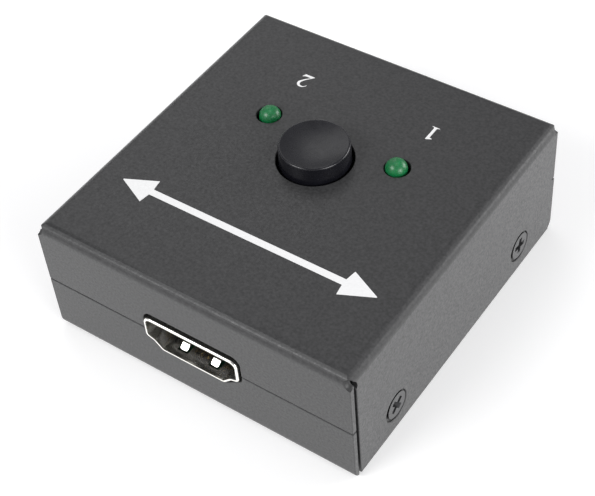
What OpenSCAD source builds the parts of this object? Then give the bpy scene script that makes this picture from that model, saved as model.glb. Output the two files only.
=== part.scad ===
// Two-way video switch box: a folded sheet metal case with one port on its front face,
// two ports on its rear face, a latching push button and two indicator lights on top.
// Millimetres. +Z is up, the box stands on Z = 0, and the single port faces -Y.

/* [Box] */
// Width across the two sides that carry the screws
body_w = 47.8; // [47:0.1:56]
// Depth from the face with one port to the face with two
body_d = 50.4; // [45:0.1:62]
// Height from the table to the lid
body_h = 19.7; // [19.5:0.1:26]
// Thickness of the sheet that both covers are folded from
sheet_t = 0.8; // [0.6:0.05:1]
// Outer radius of each fold
bend_r = 1.5; // [1.1:0.05:2]
// Height of the seam between the two covers on the port faces
seam_h = 9.45; // [9.1:0.05:10.2]
// Width of that seam
seam_gap = 0.15; // [0.1:0.05:0.3]
// Width of the open slit down each front corner of the case
slit_w = 0.5; // [0.3:0.05:0.6]
// Width of the slit down each rear corner
rear_slit_w = 0.1; // [0.05:0.05:0.5]
// Diameter of the round relief cuts at the top of each slit
relief_d = 1.7; // [1.2:0.1:2]
// Distance of the cut in a side behind the port face
relief_back = 0.7; // [0.6:0.05:1]
// Distance of the cut in a port face from the side
relief_in = 0; // [0:0.05:0.4]
// Distance of both cuts' axes below the lid
relief_drop = 1.3; // [1.2:0.05:2.4]
// Gap between the side flanges and what stands inside them
side_gap = 0.1; // [0.05:0.05:0.2]
// Height of the side flanges' lower edges above the table
side_lift = 0.1; // [0.05:0.05:0.4]

/* [Side tabs and screws] */
// Length of each screw tab along the side
tab_w = 9; // [7:0.5:11]
// Height of the tabs above the table
tab_h = 7.2; // [6.4:0.1:8]
// Width of the notch at each end of a tab's fold
tab_notch = 0.8; // [0.5:0.1:1.2]
// Distance of each side screw from the nearest port face
side_screw_inset = 9.5; // [8:0.1:10.5]
// Height of the side screws above the table
side_screw_z = 4.4; // [3.6:0.1:4.8]
// Head diameter of the side screws
side_head_d = 4.1; // [3.7:0.1:4.2]
// Thread diameter of all screws
thread_d = 2.5; // [2:0.1:2.6]
// Length of the side screws with their heads
side_screw_len = 4; // [3:0.1:4.4]
// Depth of the side screws' heads below the face
head_sink = 0.1; // [0.04:0.02:0.1]
// Gap round each screw in its hole
thread_gap = 0.03; // [0.02:0.01:0.06]
// Gap round each countersunk head
sink_gap = 0.2; // [0.15:0.05:0.3]
// Width of a recess arm in the screw heads
recess_arm = 0.55; // [0.4:0.05:0.7]
// Depth of the recess
recess_depth = 0.55; // [0.4:0.05:0.7]

/* [Circuit board] */
// Thickness of the board
board_t = 1.6; // [1.2:0.1:1.8]
// Gap between the board's edges and the port faces
board_gap = 0.6; // [0.4:0.1:1]
// Gap between the board's edges and the side flanges
board_side_gap = 3.9; // [3.6:0.05:4.1]
// Free height of the standoffs under the board
standoff_h = 4.35; // [3.9:0.05:4.6]
// Width of the standoffs across their flats
standoff_flats = 5; // [4.5:0.1:5.5]
// Diameter of the foot that holds a standoff in the panel
standoff_foot_d = 3.5; // [3.2:0.1:4.2]
// Depth of that foot's end below the panel's face
foot_sink = 0.1; // [0.05:0.05:0.3]
// Distance of the standoffs from the board's side edges
standoff_side_inset = 3.7; // [3.2:0.1:4.6]
// Distance of the front standoffs from the board's front edge
standoff_front_inset = 4.7; // [3.4:0.1:6]
// Distance of the rear standoffs from the feet of the rear ports
standoff_rear_gap = 4.7; // [3.4:0.1:5.4]
// Head diameter of the board screws
board_head_d = 4.5; // [4:0.1:5]
// Head height of the board screws
board_head_h = 1.5; // [1.2:0.1:1.8]
// Length of the board screws under their heads
board_screw_len = 4.5; // [3.5:0.1:5]
// Diameter of the board's screw holes
board_hole_d = 2.9; // [2.8:0.1:3.2]

/* [Video ports] */
// Width of a port's mouth
mouth_w = 14; // [13.8:0.1:14.4]
// Height of a port's mouth
mouth_h = 4.55; // [4.4:0.05:4.8]
// Thickness of the port shells
port_wall = 0.3; // [0.25:0.05:0.4]
// Depth of the port shells
port_depth = 11.2; // [10.6:0.1:12]
// Distance of the mouths in front of the port faces
port_proud = 0.3; // [0.1:0.1:0.8]
// Gap between the shells and the board
port_lift = 0.1; // [0.05:0.05:0.3]
// Place of the front port across the face
front_port_x = -0.15; // [-1:0.05:1]
// Place of the front port's cut-out across the face
front_cut_x = -0.05; // [-0.2:0.05:0]
// Distance between the middles of the two rear ports
rear_port_pitch = 21.5; // [20.5:0.5:22]
// Gap beside a shell in its cut-out
cut_side = 0.25; // [0.2:0.05:0.4]
// Gap above a shell in its cut-out
cut_top = 0.7; // [0.3:0.1:0.9]
// Gap below a shell in its cut-out
cut_bottom = 0.15; // [0.1:0.05:0.25]
// Radius of a cut-out's upper corners
cut_r = 1.3; // [0.8:0.1:1.8]
// Depth of the free cavity behind a mouth
cavity_depth = 8; // [7:0.1:9]
// Distance of the tongue behind the mouth
tongue_recess = 2.3; // [2.1:0.1:3]
// Width of the tongue
tongue_w = 10.9; // [10.4:0.1:11.4]
// Thickness of the tongue
tongue_t = 1.3; // [1.1:0.1:1.5]
// Height of the tongue's middle above the mouth's middle
tongue_rise = 0.15; // [0:0.05:0.3]
// Fit of the insulator in its shell and of the contacts in the insulator
insulator_gap = 0.03; // [0.02:0.01:0.06]

/* [Port contacts and springs] */
// Contacts on top of the tongue
upper_contacts = 10; // [6:1:10]
// Contacts under the tongue
lower_contacts = 9; // [5:1:9]
// Distance between neighbours of one row
contact_pitch = 1; // [0.9:0.05:1]
// Width of a contact
contact_w = 0.3; // [0.2:0.05:0.35]
// Thickness of a contact
contact_t = 0.2; // [0.15:0.05:0.3]
// Distance of a contact's end behind the tongue's front edge
contact_back = 0.6; // [0.4:0.1:1]
// Length of a contact's soldered foot
contact_foot = 0.9; // [0.6:0.1:1.2]
// Width of a shell's spring fingers
finger_w = 1.35; // [1:0.05:1.5]
// Distance of a spring finger from the middle of its port
finger_x = 2.45; // [2:0.05:3]
// Distance of the finger tips behind the mouth
finger_tip = 1.25; // [1:0.05:2]
// Distance of the finger roots behind the mouth
finger_root = 6.6; // [5:0.1:7]
// How far a finger stands into the mouth
finger_rise = 0.6; // [0.3:0.05:0.7]
// Width of the slot round a finger
finger_slot = 0.2; // [0.15:0.05:0.4]
// Width of a shell's soldered legs
leg_w = 1.4; // [1:0.1:1.8]
// Gap round a leg or pin in the board
pin_gap = 0.15; // [0.1:0.05:0.25]
// How far legs and pins reach below the board
pin_reach = 0.8; // [0.4:0.1:1.2]

/* [Button and latching switch] */
// Diameter of the button at its top
button_d = 9.5; // [9:0.1:9.8]
// Extra diameter of the button at its lower edge
button_flare = 0.3; // [0:0.1:0.4]
// Height of the button's top above the lid
button_proud = 2.55; // [2.4:0.05:4]
// Height of the whole button
button_h = 5.8; // [5:0.1:6]
// Radius of the button's top edge
button_edge = 0.3; // [0.15:0.05:0.5]
// Depth of the hollow in the button's top
dish_depth = 0.5; // [0.2:0.05:0.7]
// Thickness of the button's skirt
button_wall = 1; // [0.8:0.1:1.2]
// Place of the button behind the middle of the box
button_y = 3.1; // [2:0.1:4]
// Diameter of the button's hole in the lid
button_hole_d = 10.4; // [10.3:0.1:11.5]
// How far the button can be pressed
button_travel = 2.2; // [1.5:0.1:2.3]
// Width of the switch's square housing
switch_w = 8.5; // [8.2:0.1:9]
// Height of the switch's housing above the board
switch_h = 7.2; // [7:0.1:7.4]
// Wall of the switch's housing
switch_wall = 0.7; // [0.5:0.05:0.8]
// Thickness of the switch's base plate
base_t = 0.7; // [0.5:0.05:0.8]
// Width of the slider between the two rows of terminals
slider_w = 5.5; // [5.2:0.1:5.6]
// Depth of the slider
slider_d = 4.9; // [4.6:0.1:5]
// Width of the plunger's stem
stem_w = 3.2; // [2.8:0.1:3.4]
// Depth of the plunger's stem
stem_d = 2.6; // [2.2:0.1:2.8]
// Running gap of the plunger in the housing's top
stem_gap = 0.1; // [0.06:0.02:0.16]
// Gap of the stem in the button's socket
socket_gap = 0.03; // [0.02:0.01:0.06]
// Thickness of the switch's contact metal
blade_t = 0.3; // [0.2:0.05:0.35]
// Width of a switch terminal
blade_w = 0.8; // [0.6:0.1:1]
// Distance between neighbouring terminals
blade_pitch = 2.5; // [2.2:0.1:2.6]
// Diameter of the latch pin's wire
latch_d = 0.5; // [0.4:0.05:0.55]
// Outer diameter of the return spring
spring_d = 2.2; // [1.8:0.1:2.3]
// Diameter of the return spring's wire
spring_wire = 0.28; // [0.2:0.02:0.3]
// Turns of the return spring
spring_turns = 7; // [5:1:8]

/* [Indicator lights] */
// Diameter of a light's dome
led_d = 3; // [2.8:0.1:3.1]
// Diameter of a light's collar
led_collar_d = 3.9; // [3.6:0.1:4.2]
// Height of a light's collar
led_collar_h = 1; // [0.8:0.1:1.2]
// Height of a light from its collar to the centre of its dome
led_body_h = 3.8; // [3.4:0.1:4.4]
// Depth of the dome's centre below the lid
led_sink = 0.25; // [0:0.05:0.4]
// Distance of the lights from the board's side edges
led_side_inset = 9.2; // [8.7:0.05:9.8]
// How far the middle of each hole lies outside the middle of its light
led_hole_shift = 0.15; // [0:0.05:0.2]
// Diameter of the holes for the lights
led_hole_d = 3.5; // [3.45:0.05:4]
// Place of the lights behind the middle of the box
led_y = 7; // [6:0.1:8]
// Distance between the two leads of a light
led_lead_pitch = 2.54; // [2.3:0.02:2.6]
// Thickness of a lead
led_lead_t = 0.5; // [0.4:0.05:0.6]

/* [Parts on the board] */
// Width of the switching chip's body
chip_w = 7; // [6:0.1:7.2]
// Height of the switching chip's body
chip_h = 1.2; // [0.9:0.1:1.4]
// Gap under the switching chip
chip_lift = 0.15; // [0.1:0.05:0.2]
// Leads on each side of the chip
chip_leads_per_side = 12; // [6:1:12]
// Distance between neighbouring leads
chip_lead_pitch = 0.5; // [0.45:0.01:0.5]
// Width of a chip lead
chip_lead_w = 0.22; // [0.18:0.02:0.26]
// Thickness of a chip lead
chip_lead_t = 0.13; // [0.1:0.01:0.16]
// Reach of a chip lead beyond the body
chip_lead_reach = 0.9; // [0.7:0.1:1]
// Length of the small resistors and capacitors
small_part_l = 1.6; // [1.2:0.1:1.8]
// Width of the small resistors and capacitors
small_part_w = 0.8; // [0.6:0.1:0.9]
// Height of a resistor
resistor_h = 0.45; // [0.4:0.05:0.6]
// Height of a capacitor
capacitor_h = 0.8; // [0.6:0.05:0.9]
// Resistors, and capacitors, in one column
small_part_rows = 4; // [2:1:6]

/* [Hidden] */
$fn = 64;

// Overrun of every cut past the face that it opens
over = 0.5;

// Colours
case_black = [0.25, 0.25, 0.26];
screw_black = [0.12, 0.12, 0.12];
button_black = [0.08, 0.08, 0.09];
nickel = [0.83, 0.82, 0.79];
brass_yellow = [0.72, 0.6, 0.3];
gold = [0.85, 0.68, 0.32];
resin_black = [0.06, 0.06, 0.06];
board_green = [0.05, 0.3, 0.16];
lens_green = [0.05, 0.45, 0.22];
tin = [0.75, 0.75, 0.76];
nylon_white = [0.85, 0.84, 0.8];

// Levels and edges of the covers
lid_under_z = body_h - sheet_t;
seam_top = seam_h + seam_gap / 2;
seam_bottom = seam_h - seam_gap / 2;
inner_d = body_d - 2 * sheet_t;
inner_w = body_w - 2 * sheet_t;
panel_edge = inner_w / 2 - side_gap;
relief_z = body_h - relief_drop;

// Levels of the board and the ports on it
board_z = sheet_t + standoff_h;
board_top = board_z + board_t;
board_w = inner_w - 2 * board_side_gap;
board_d = inner_d - 2 * board_gap;
mouth_z = board_top + port_lift + port_wall;
feet_depth = port_depth + port_lift + contact_foot;
feet_y = body_d / 2 + port_proud - feet_depth;
standoff_x = board_w / 2 - standoff_side_inset;
standoff_front_y = standoff_front_inset - board_d / 2;
standoff_rear_y = feet_y - standoff_rear_gap;

// Screws
thread_r = thread_d / 2;
thread_hole_r = thread_r + thread_gap;
side_head_r = side_head_d / 2;
side_head_h = side_head_r - thread_r;
side_screw_y = body_d / 2 - side_screw_inset;
recess_span_share = 0.6;
recess_span = recess_span_share * side_head_d;
board_head_top_share = 0.8;
board_head_top_d = board_head_top_share * board_head_d;

// Corners of a port's mouth as shares of its width and height, with their radii
foot_share = 0.34;
step_share = 0.425;
step_height_share = 0.26;
shoulder_height_share = 0.34;
mouth_top_r = 0.8;
mouth_shoulder_r = 0.3;
mouth_step_r = 0.7;
mouth_foot_r = 0.35;
mouth_half = [
    [foot_share * mouth_w, 0, mouth_foot_r],
    [step_share * mouth_w, step_height_share * mouth_h, mouth_step_r],
    [mouth_w / 2, shoulder_height_share * mouth_h, mouth_shoulder_r],
    [mouth_w / 2, mouth_h, mouth_top_r]
];

// Corners of a port's cut-out, measured from the mouth's lower edge
cut_half_w = mouth_w / 2 + port_wall + cut_side;
cut_half = [
    [foot_share * mouth_w + port_wall, -port_wall - cut_bottom, mouth_foot_r],
    [cut_half_w, shoulder_height_share * mouth_h - port_wall / 2, mouth_foot_r],
    [cut_half_w, mouth_h + port_wall + cut_top, cut_r]
];

// Tongue and contacts, measured from the mouth's lower edge and from the mouth
tongue_mid = mouth_h / 2 + tongue_rise;
tongue_top = tongue_mid + tongue_t / 2;
tongue_under = tongue_mid - tongue_t / 2;
tongue_edge = tongue_t / 4;
contact_tip = tongue_recess + contact_back;
contact_drop_y = port_depth + port_lift;
board_below_mouth = port_lift + port_wall;
leg_shares = [0.27, 0.8];
leg_places = leg_shares * port_depth;
leg_side_x = (mouth_w + port_wall) / 2;
finger_crest_share = 0.7;
finger_crest = finger_tip + finger_crest_share * finger_w;
finger_round_share = 0.35;
finger_round = finger_round_share * finger_w;

// Button
button_top_z = body_h + button_proud;
button_low_z = button_top_z - button_h;
button_r = button_d / 2;
button_low_r = button_r + button_flare / 2;
dish_r = button_r - button_edge;
dish_ball_r = (dish_r * dish_r + dish_depth * dish_depth) / (2 * dish_depth);
boss_r = norm([stem_w, stem_d]) / 2 + button_wall / 2;
button_roof_share = 1.5;
button_roof = button_roof_share * button_wall;

// Switch
housing_top_z = board_top + switch_h;
housing_in = switch_w - 2 * switch_wall;
base_top_z = board_top + base_t;
slider_top_z = housing_top_z - switch_wall - stem_gap;
slider_low_z = base_top_z + button_travel + stem_gap;
stem_top_z = button_top_z - dish_depth - button_roof - socket_gap;
spring_bore_r = spring_d / 2 + stem_gap;
spring_seat_z = slider_top_z - switch_wall;
blade_x = housing_in / 2 - blade_t;
bridge_t = blade_t / 2;
bridge_sink = bridge_t / 2;
bridge_h_share = 0.6;
bridge_h = bridge_h_share * (slider_top_z - slider_low_z);
bridge_span = blade_pitch + blade_w;
bridge_low_z = (slider_top_z + slider_low_z - bridge_h) / 2;

// Latch groove in the slider's rear face
groove_depth_share = 1.5;
groove_depth = groove_depth_share * latch_d;
groove_w_share = 0.62;
groove_w = groove_w_share * slider_d;
groove_low_z = slider_low_z + latch_d / 2;
groove_h = slider_top_z - slider_low_z - latch_d;
heart_w_share = 0.36;
heart_w = heart_w_share * groove_w;
heart_z_share = 0.62;
heart_z = heart_z_share * groove_h;
lane_x = groove_w / 2 - latch_d;
latch_tip_z = groove_low_z + latch_d;
latch_foot_z = base_top_z + latch_d;
latch_y = (slider_d + housing_in) / 4;
// Swelling of the latch pin's wire at its bends
elbow_share = 1.06;

// Lights
led_low_z = body_h - led_sink - led_body_h;
led_x = board_w / 2 - led_side_inset;
led_hole_x = led_x + led_hole_shift;

// Middle of the free areas beside the switch, between the front standoffs and the lights
area_x = (switch_w + board_w) / 4;
area_y = (standoff_front_y + led_y) / 2;
chip_dot_share = 0.38;
chip_dot = chip_dot_share * chip_w;
small_part_pitch = 2 * small_part_w;

// Outlines with rounded corners

// Outward normal of the edge from a to b on an outline that runs anticlockwise
function edge_normal(a, b) = let (d = b - a) [d[1], -d[0]] / norm(d);

// Meeting point of two edges that lie one unit outside their corner
function corner_step(n1, n2) = (n1 + n2) / (1 + n1 * n2);

// Left half of an outline, mirrored from its right half
function mirrored(half) = [for (i = [len(half) - 1 : -1 : 0]) [-half[i][0], half[i][1], half[i][2]]];

// Points of an outline whose corners are [x, y, radius], grown outwards by g
function rounded_points(corners, g = 0, steps = 6) = [
    for (i = [0 : len(corners) - 1])
        let (n = len(corners),
            before = [for (k = [0, 1]) corners[(i + n - 1) % n][k]],
            here = [for (k = [0, 1]) corners[i][k]],
            after = [for (k = [0, 1]) corners[(i + 1) % n][k]],
            n1 = edge_normal(before, here),
            n2 = edge_normal(here, after),
            turn = atan2(n1[0] * n2[1] - n1[1] * n2[0], n1 * n2),
            bend = sign(turn),
            r = max(corners[i][2] + bend * g, 0),
            centre = here + (g - bend * r) * corner_step(n1, n2),
            start = atan2(n1[1], n1[0]))
        for (s = [0 : r > 0 ? steps : 0])
            let (a = start + turn * (r > 0 ? s / steps : 0))
            r > 0 ? centre + bend * r * [cos(a), sin(a)] : centre
];

// Upright prism on the X-Z plane, from y = 0 towards +Y
module upright(depth) {
    translate([0, depth, 0]) rotate([90, 0, 0]) linear_extrude(height = depth) children();
}

module mouth_outline(g = 0) {
    polygon(rounded_points(concat(mouth_half, mirrored(mouth_half)), g));
}

module cut_outline() {
    polygon(rounded_points(concat(cut_half, mirrored(cut_half))));
}

// Folded sheet seen from its end: square below, two folds above
module fold_outline(w, h, r) {
    translate([-w / 2, 0]) square([w, h - r]);
    translate([r - w / 2, 0]) square([w - 2 * r, h]);
    for (side = [-1, 1]) translate([side * (w / 2 - r), h - r]) circle(r = r);
}

// Block with a fold along each of its four top edges
module folded_block(w, d, h, r) {
    intersection() {
        rotate([90, 0, 0]) linear_extrude(height = d, center = true) fold_outline(w, h, r);
        rotate([90, 0, 90]) linear_extrude(height = w, center = true) fold_outline(d, h, r);
    }
}

// Places of the three ports: the mouth's lower edge at the origin, the port reaching +Y
module at_front_port(x = front_port_x) {
    translate([x, -body_d / 2 - port_proud, mouth_z]) children();
}

module at_rear_port(number) {
    x = (number == 1 ? 1 : -1) * rear_port_pitch / 2;
    translate([x, body_d / 2 + port_proud, mouth_z]) rotate([0, 0, 180]) children();
}

module at_all_ports() {
    at_front_port() children();
    for (number = [1, 2]) at_rear_port(number) children();
}

module port_cut() {
    translate([0, -over, 0]) upright(port_proud + sheet_t + bend_r + over) cut_outline();
}

module all_port_cuts() {
    at_front_port(front_cut_x) port_cut();
    for (number = [1, 2]) at_rear_port(number) port_cut();
}

// Places of the side screws, with +Z pointing out of the box
module at_side_screws() {
    for (side = [-1, 1], end = [-1, 1])
        translate([side * body_w / 2, end * side_screw_y, side_screw_z])
            rotate([0, side * 90, 0]) children();
}

module at_standoffs() {
    for (side = [-1, 1], y = [standoff_front_y, standoff_rear_y])
        translate([side * standoff_x, y, 0]) children();
}

// Covers

module side_screw_hole() {
    sink_r = side_head_r + sink_gap;
    hole_r = thread_r + sink_gap;
    translate([0, 0, -sink_r + hole_r]) cylinder(h = sink_r - hole_r, r1 = hole_r, r2 = sink_r);
    cylinder(h = over, r = sink_r);
    translate([0, 0, -sheet_t - over]) cylinder(h = sheet_t + over, r = hole_r);
}

// Slit of the corner at +X and -Y, with a relief cut through both of its walls
module corner_slit(gap) {
    translate([inner_w / 2, -inner_d / 2, -over]) cube([sheet_t + over, gap, over + relief_z]);
    translate([inner_w / 2 - gap, relief_back - body_d / 2, relief_z])
        rotate([0, 90, 0]) cylinder(h = sheet_t + gap + over, d = relief_d);
    translate([body_w / 2 - relief_in, gap - inner_d / 2, relief_z])
        rotate([90, 0, 0]) cylinder(h = sheet_t + gap + over, d = relief_d);
}

module top_cover() {
    color(case_black) difference() {
        folded_block(body_w, body_d, body_h, bend_r);
        translate([0, 0, -over])
            folded_block(inner_w, inner_d, lid_under_z + over, bend_r - sheet_t);
        for (end = [0, 1]) mirror([0, end, 0]) {
            gap = end == 0 ? slit_w : rear_slit_w;
            // The port faces end at the seam
            translate([-body_w / 2 - over, -body_d / 2 - over, -over])
                cube([body_w + 2 * over, over + sheet_t + gap, over + seam_top]);
            for (side = [0, 1]) mirror([side, 0, 0]) corner_slit(gap);
        }
        // Lower edges of the sides
        translate([-body_w / 2 - over, -body_d / 2, -over])
            cube([body_w + 2 * over, body_d, over + side_lift]);
        at_side_screws() side_screw_hole();
        all_port_cuts();
        translate([0, button_y, lid_under_z - over])
            cylinder(h = sheet_t + 2 * over, d = button_hole_d);
        for (side = [-1, 1]) translate([side * led_hole_x, led_y, lid_under_z - over])
            cylinder(h = sheet_t + 2 * over, d = led_hole_d);
    }
}

// Sheet folded up at the port faces, as wide as the box
module bottom_trough() {
    rotate([90, 0, 90]) linear_extrude(height = body_w, center = true) difference() {
        translate([0, seam_bottom]) mirror([0, 1])
            fold_outline(body_d, seam_bottom, bend_r);
        translate([0, seam_bottom + over]) mirror([0, 1])
            fold_outline(inner_d, seam_bottom + over - sheet_t, bend_r - sheet_t);
    }
}

// Tab folded up from the panel's edge at +X, with its tapped hole
module side_tab() {
    difference() {
        rotate([90, 0, 0]) linear_extrude(height = tab_w, center = true) difference() {
            translate([0, tab_h]) mirror([0, 1]) fold_outline(2 * panel_edge, tab_h, bend_r);
            translate([0, tab_h + over]) mirror([0, 1])
                fold_outline(2 * (panel_edge - sheet_t), tab_h + over - sheet_t,
                    bend_r - sheet_t);
            translate([-panel_edge - over, -over])
                square([2 * panel_edge + over - bend_r, tab_h + 2 * over]);
        }
        translate([panel_edge - sheet_t - over, 0, side_screw_z]) rotate([0, 90, 0])
            cylinder(h = sheet_t + 2 * over, r = thread_hole_r);
    }
}

module bottom_cover() {
    color(case_black) {
        difference() {
            bottom_trough();
            // Room for the side flanges of the top cover
            for (side = [0, 1]) mirror([side, 0, 0])
                translate([panel_edge, -inner_d / 2, -over])
                    cube([body_w - panel_edge, inner_d, seam_h + over]);
            // Folds and end notches of the tabs
            for (side = [0, 1], end = [-1, 1]) mirror([side, 0, 0])
                translate([panel_edge - bend_r, end * side_screw_y - tab_w / 2 - tab_notch, -over])
                    cube([bend_r + over, tab_w + 2 * tab_notch, sheet_t + 2 * over]);
            at_standoffs() translate([0, 0, -over])
                cylinder(h = sheet_t + 2 * over, r = standoff_foot_d / 2 + thread_gap);
            all_port_cuts();
        }
        for (side = [0, 1], end = [-1, 1]) mirror([side, 0, 0])
            translate([0, end * side_screw_y, 0]) side_tab();
    }
}

// Screws and standoffs

// Cross recess cut into a head whose top is at z = 0
module cross_recess(span) {
    for (turn = [0, 90]) rotate([0, 0, turn]) translate([-span / 2, -recess_arm / 2, -recess_depth])
        cube([span, recess_arm, recess_depth + over]);
}

module cover_screws() {
    color(screw_black) at_side_screws() translate([0, 0, -head_sink]) difference() {
        union() {
            translate([0, 0, -side_head_h])
                cylinder(h = side_head_h, r1 = thread_r, r2 = side_head_r);
            translate([0, 0, -side_screw_len]) cylinder(h = side_screw_len, r = thread_r);
        }
        cross_recess(recess_span);
    }
}

module board_standoffs() {
    foot_h = sheet_t - foot_sink;
    color(brass_yellow) at_standoffs() difference() {
        union() {
            translate([0, 0, sheet_t])
                cylinder(h = standoff_h, d = standoff_flats / cos(30), $fn = 6);
            translate([0, 0, foot_sink]) cylinder(h = foot_h, d = standoff_foot_d);
        }
        translate([0, 0, sheet_t]) cylinder(h = standoff_h + over, r = thread_hole_r);
    }
}

module board_screws() {
    color(tin) at_standoffs() translate([0, 0, board_top]) difference() {
        union() {
            cylinder(h = board_head_h, d1 = board_head_d, d2 = board_head_top_d);
            translate([0, 0, -board_screw_len]) cylinder(h = board_screw_len, r = thread_r);
        }
        translate([0, 0, board_head_h]) cross_recess(recess_span);
    }
}

// Circuit board

module circuit_board() {
    leg_slot = [port_wall + 2 * pin_gap, leg_w + 2 * pin_gap, board_t + 2 * over];
    color(board_green) difference() {
        translate([-board_w / 2, -board_d / 2, board_z]) cube([board_w, board_d, board_t]);
        at_standoffs() translate([0, 0, board_z - over])
            cylinder(h = board_t + 2 * over, d = board_hole_d);
        at_all_ports() for (side = [-1, 1], y = leg_places)
            translate([side * leg_side_x, y, -board_below_mouth - board_t / 2])
                cube(leg_slot, center = true);
        at_leds() at_led_leads() translate([0, 0, board_z - over])
            cylinder(h = board_t + 2 * over, r = led_lead_t * sqrt(2) / 2 + pin_gap);
        at_terminals() translate([0, 0, board_z - over])
            cylinder(h = board_t + 2 * over, r = norm([blade_t, blade_w]) / 2 + pin_gap);
    }
}

// Ports

// Spring finger on the lower wall: root in the wall, crest inside the mouth, curled tip
module spring_finger() {
    side_view = [
        [finger_root, 0], [finger_crest, finger_rise], [finger_tip, 0], [finger_tip, -port_wall],
        [finger_crest, finger_rise - port_wall], [finger_root, -port_wall]
    ];
    plan = [
        [-finger_w / 2, finger_tip, finger_round], [finger_w / 2, finger_tip, finger_round],
        [finger_w / 2, finger_root, 0], [-finger_w / 2, finger_root, 0]
    ];
    intersection() {
        rotate([90, 0, 90]) linear_extrude(height = finger_w, center = true) polygon(side_view);
        translate([0, 0, -mouth_h]) linear_extrude(height = 2 * mouth_h)
            polygon(rounded_points(plan));
    }
}

module finger_window() {
    translate([-finger_w / 2 - finger_slot, finger_tip - finger_slot, -port_wall - over])
        cube([finger_w + 2 * finger_slot, finger_root - finger_tip + finger_slot,
            port_wall + 2 * over]);
}

module at_fingers() {
    for (side = [-1, 1]) translate([side * finger_x, 0, 0]) {
        children();
        translate([0, 0, mouth_h]) mirror([0, 0, 1]) children();
    }
}

module port_shell() {
    leg_top = shoulder_height_share * mouth_h + mouth_shoulder_r + port_wall;
    leg_h = leg_top + board_below_mouth + board_t + pin_reach;
    difference() {
        upright(port_depth) mouth_outline(port_wall);
        translate([0, -over, 0]) upright(port_depth + 2 * over) mouth_outline();
        at_fingers() finger_window();
    }
    at_fingers() spring_finger();
    for (side = [-1, 1], y = leg_places)
        translate([side * leg_side_x - port_wall / 2, y - leg_w / 2, leg_top - leg_h])
            cube([port_wall, leg_w, leg_h]);
}

// Places of the contacts across a port: one row above the tongue and one below it
function row_places(count) = [for (i = [0 : count - 1]) (i - (count - 1) / 2) * contact_pitch];

module contact(level) {
    side_view = [
        [contact_tip, level], [contact_drop_y, level],
        [contact_drop_y, -board_below_mouth],
        [contact_drop_y + contact_foot, -board_below_mouth],
        [contact_drop_y + contact_foot, contact_t - board_below_mouth],
        [contact_drop_y + contact_t, contact_t - board_below_mouth],
        [contact_drop_y + contact_t, level + contact_t], [contact_tip, level + contact_t]
    ];
    rotate([90, 0, 90]) linear_extrude(height = contact_w, center = true) polygon(side_view);
}

module port_contacts() {
    for (x = row_places(upper_contacts)) translate([x, 0, 0]) contact(tongue_top - contact_t);
    for (x = row_places(lower_contacts)) translate([x, 0, 0]) contact(tongue_under);
}

// Slot that a contact lies in, open at the tongue's face
module contact_slot(level) {
    translate([-contact_w / 2 - insulator_gap, contact_tip - insulator_gap, level - insulator_gap])
        cube([contact_w + 2 * insulator_gap, port_depth, contact_t + 2 * insulator_gap]);
}

module port_tongue() {
    side_view = [
        [tongue_recess, tongue_mid - tongue_edge], [tongue_recess + tongue_edge, tongue_under],
        [cavity_depth + over, tongue_under], [cavity_depth + over, tongue_top],
        [tongue_recess + tongue_edge, tongue_top], [tongue_recess, tongue_mid + tongue_edge]
    ];
    difference() {
        union() {
            translate([0, cavity_depth, 0]) upright(port_depth - cavity_depth)
                mouth_outline(-insulator_gap);
            rotate([90, 0, 90]) linear_extrude(height = tongue_w, center = true)
                polygon(side_view);
        }
        for (x = row_places(upper_contacts))
            translate([x, 0, 0]) contact_slot(tongue_top - contact_t);
        for (x = row_places(lower_contacts)) translate([x, 0, 0]) contact_slot(tongue_under);
    }
}

module front_port_shell() { color(nickel) at_front_port() port_shell(); }
module front_port_tongue() { color(resin_black) at_front_port() port_tongue(); }
module front_port_contacts() { color(gold) at_front_port() port_contacts(); }
module rear_port_1_shell() { color(nickel) at_rear_port(1) port_shell(); }
module rear_port_1_tongue() { color(resin_black) at_rear_port(1) port_tongue(); }
module rear_port_1_contacts() { color(gold) at_rear_port(1) port_contacts(); }
module rear_port_2_shell() { color(nickel) at_rear_port(2) port_shell(); }
module rear_port_2_tongue() { color(resin_black) at_rear_port(2) port_tongue(); }
module rear_port_2_contacts() { color(gold) at_rear_port(2) port_contacts(); }

// Button

module button_cap() {
    socket = [stem_w + 2 * socket_gap, stem_d + 2 * socket_gap,
        stem_top_z + socket_gap - button_low_z + over];
    inner_r = button_r - button_wall;
    roof_z = stem_top_z - button_low_z;
    color(button_black) translate([0, button_y, button_low_z]) difference() {
        rotate_extrude($fn = 96) {
            polygon([[0, 0], [button_low_r, 0], [button_r, button_h - button_edge],
                [button_r - button_edge, button_h], [0, button_h]]);
            translate([button_r - button_edge, button_h - button_edge])
                intersection() {
                    circle(r = button_edge);
                    square([button_edge, button_edge]);
                }
        }
        // Hollow top
        translate([0, 0, button_h - dish_depth + dish_ball_r]) sphere(r = dish_ball_r, $fn = 128);
        // Ring-shaped hollow under the roof
        translate([0, 0, -over]) difference() {
            cylinder(h = roof_z + over, r = inner_r);
            cylinder(h = roof_z + over, r = boss_r);
        }
        translate([-socket[0] / 2, -socket[1] / 2, -over]) cube(socket);
    }
}

// Latching switch

module at_switch() {
    translate([0, button_y, 0]) children();
}

// Heart-shaped island that the latch pin runs round, with its notch upwards
module heart_outline(w) {
    difference() {
        polygon([[0, -w / 2], [w / 2, w / 4], [w / 4, w / 2], [-w / 4, w / 2], [-w / 2, w / 4]]);
        translate([0, w / 2]) circle(d = latch_d);
    }
}

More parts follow.
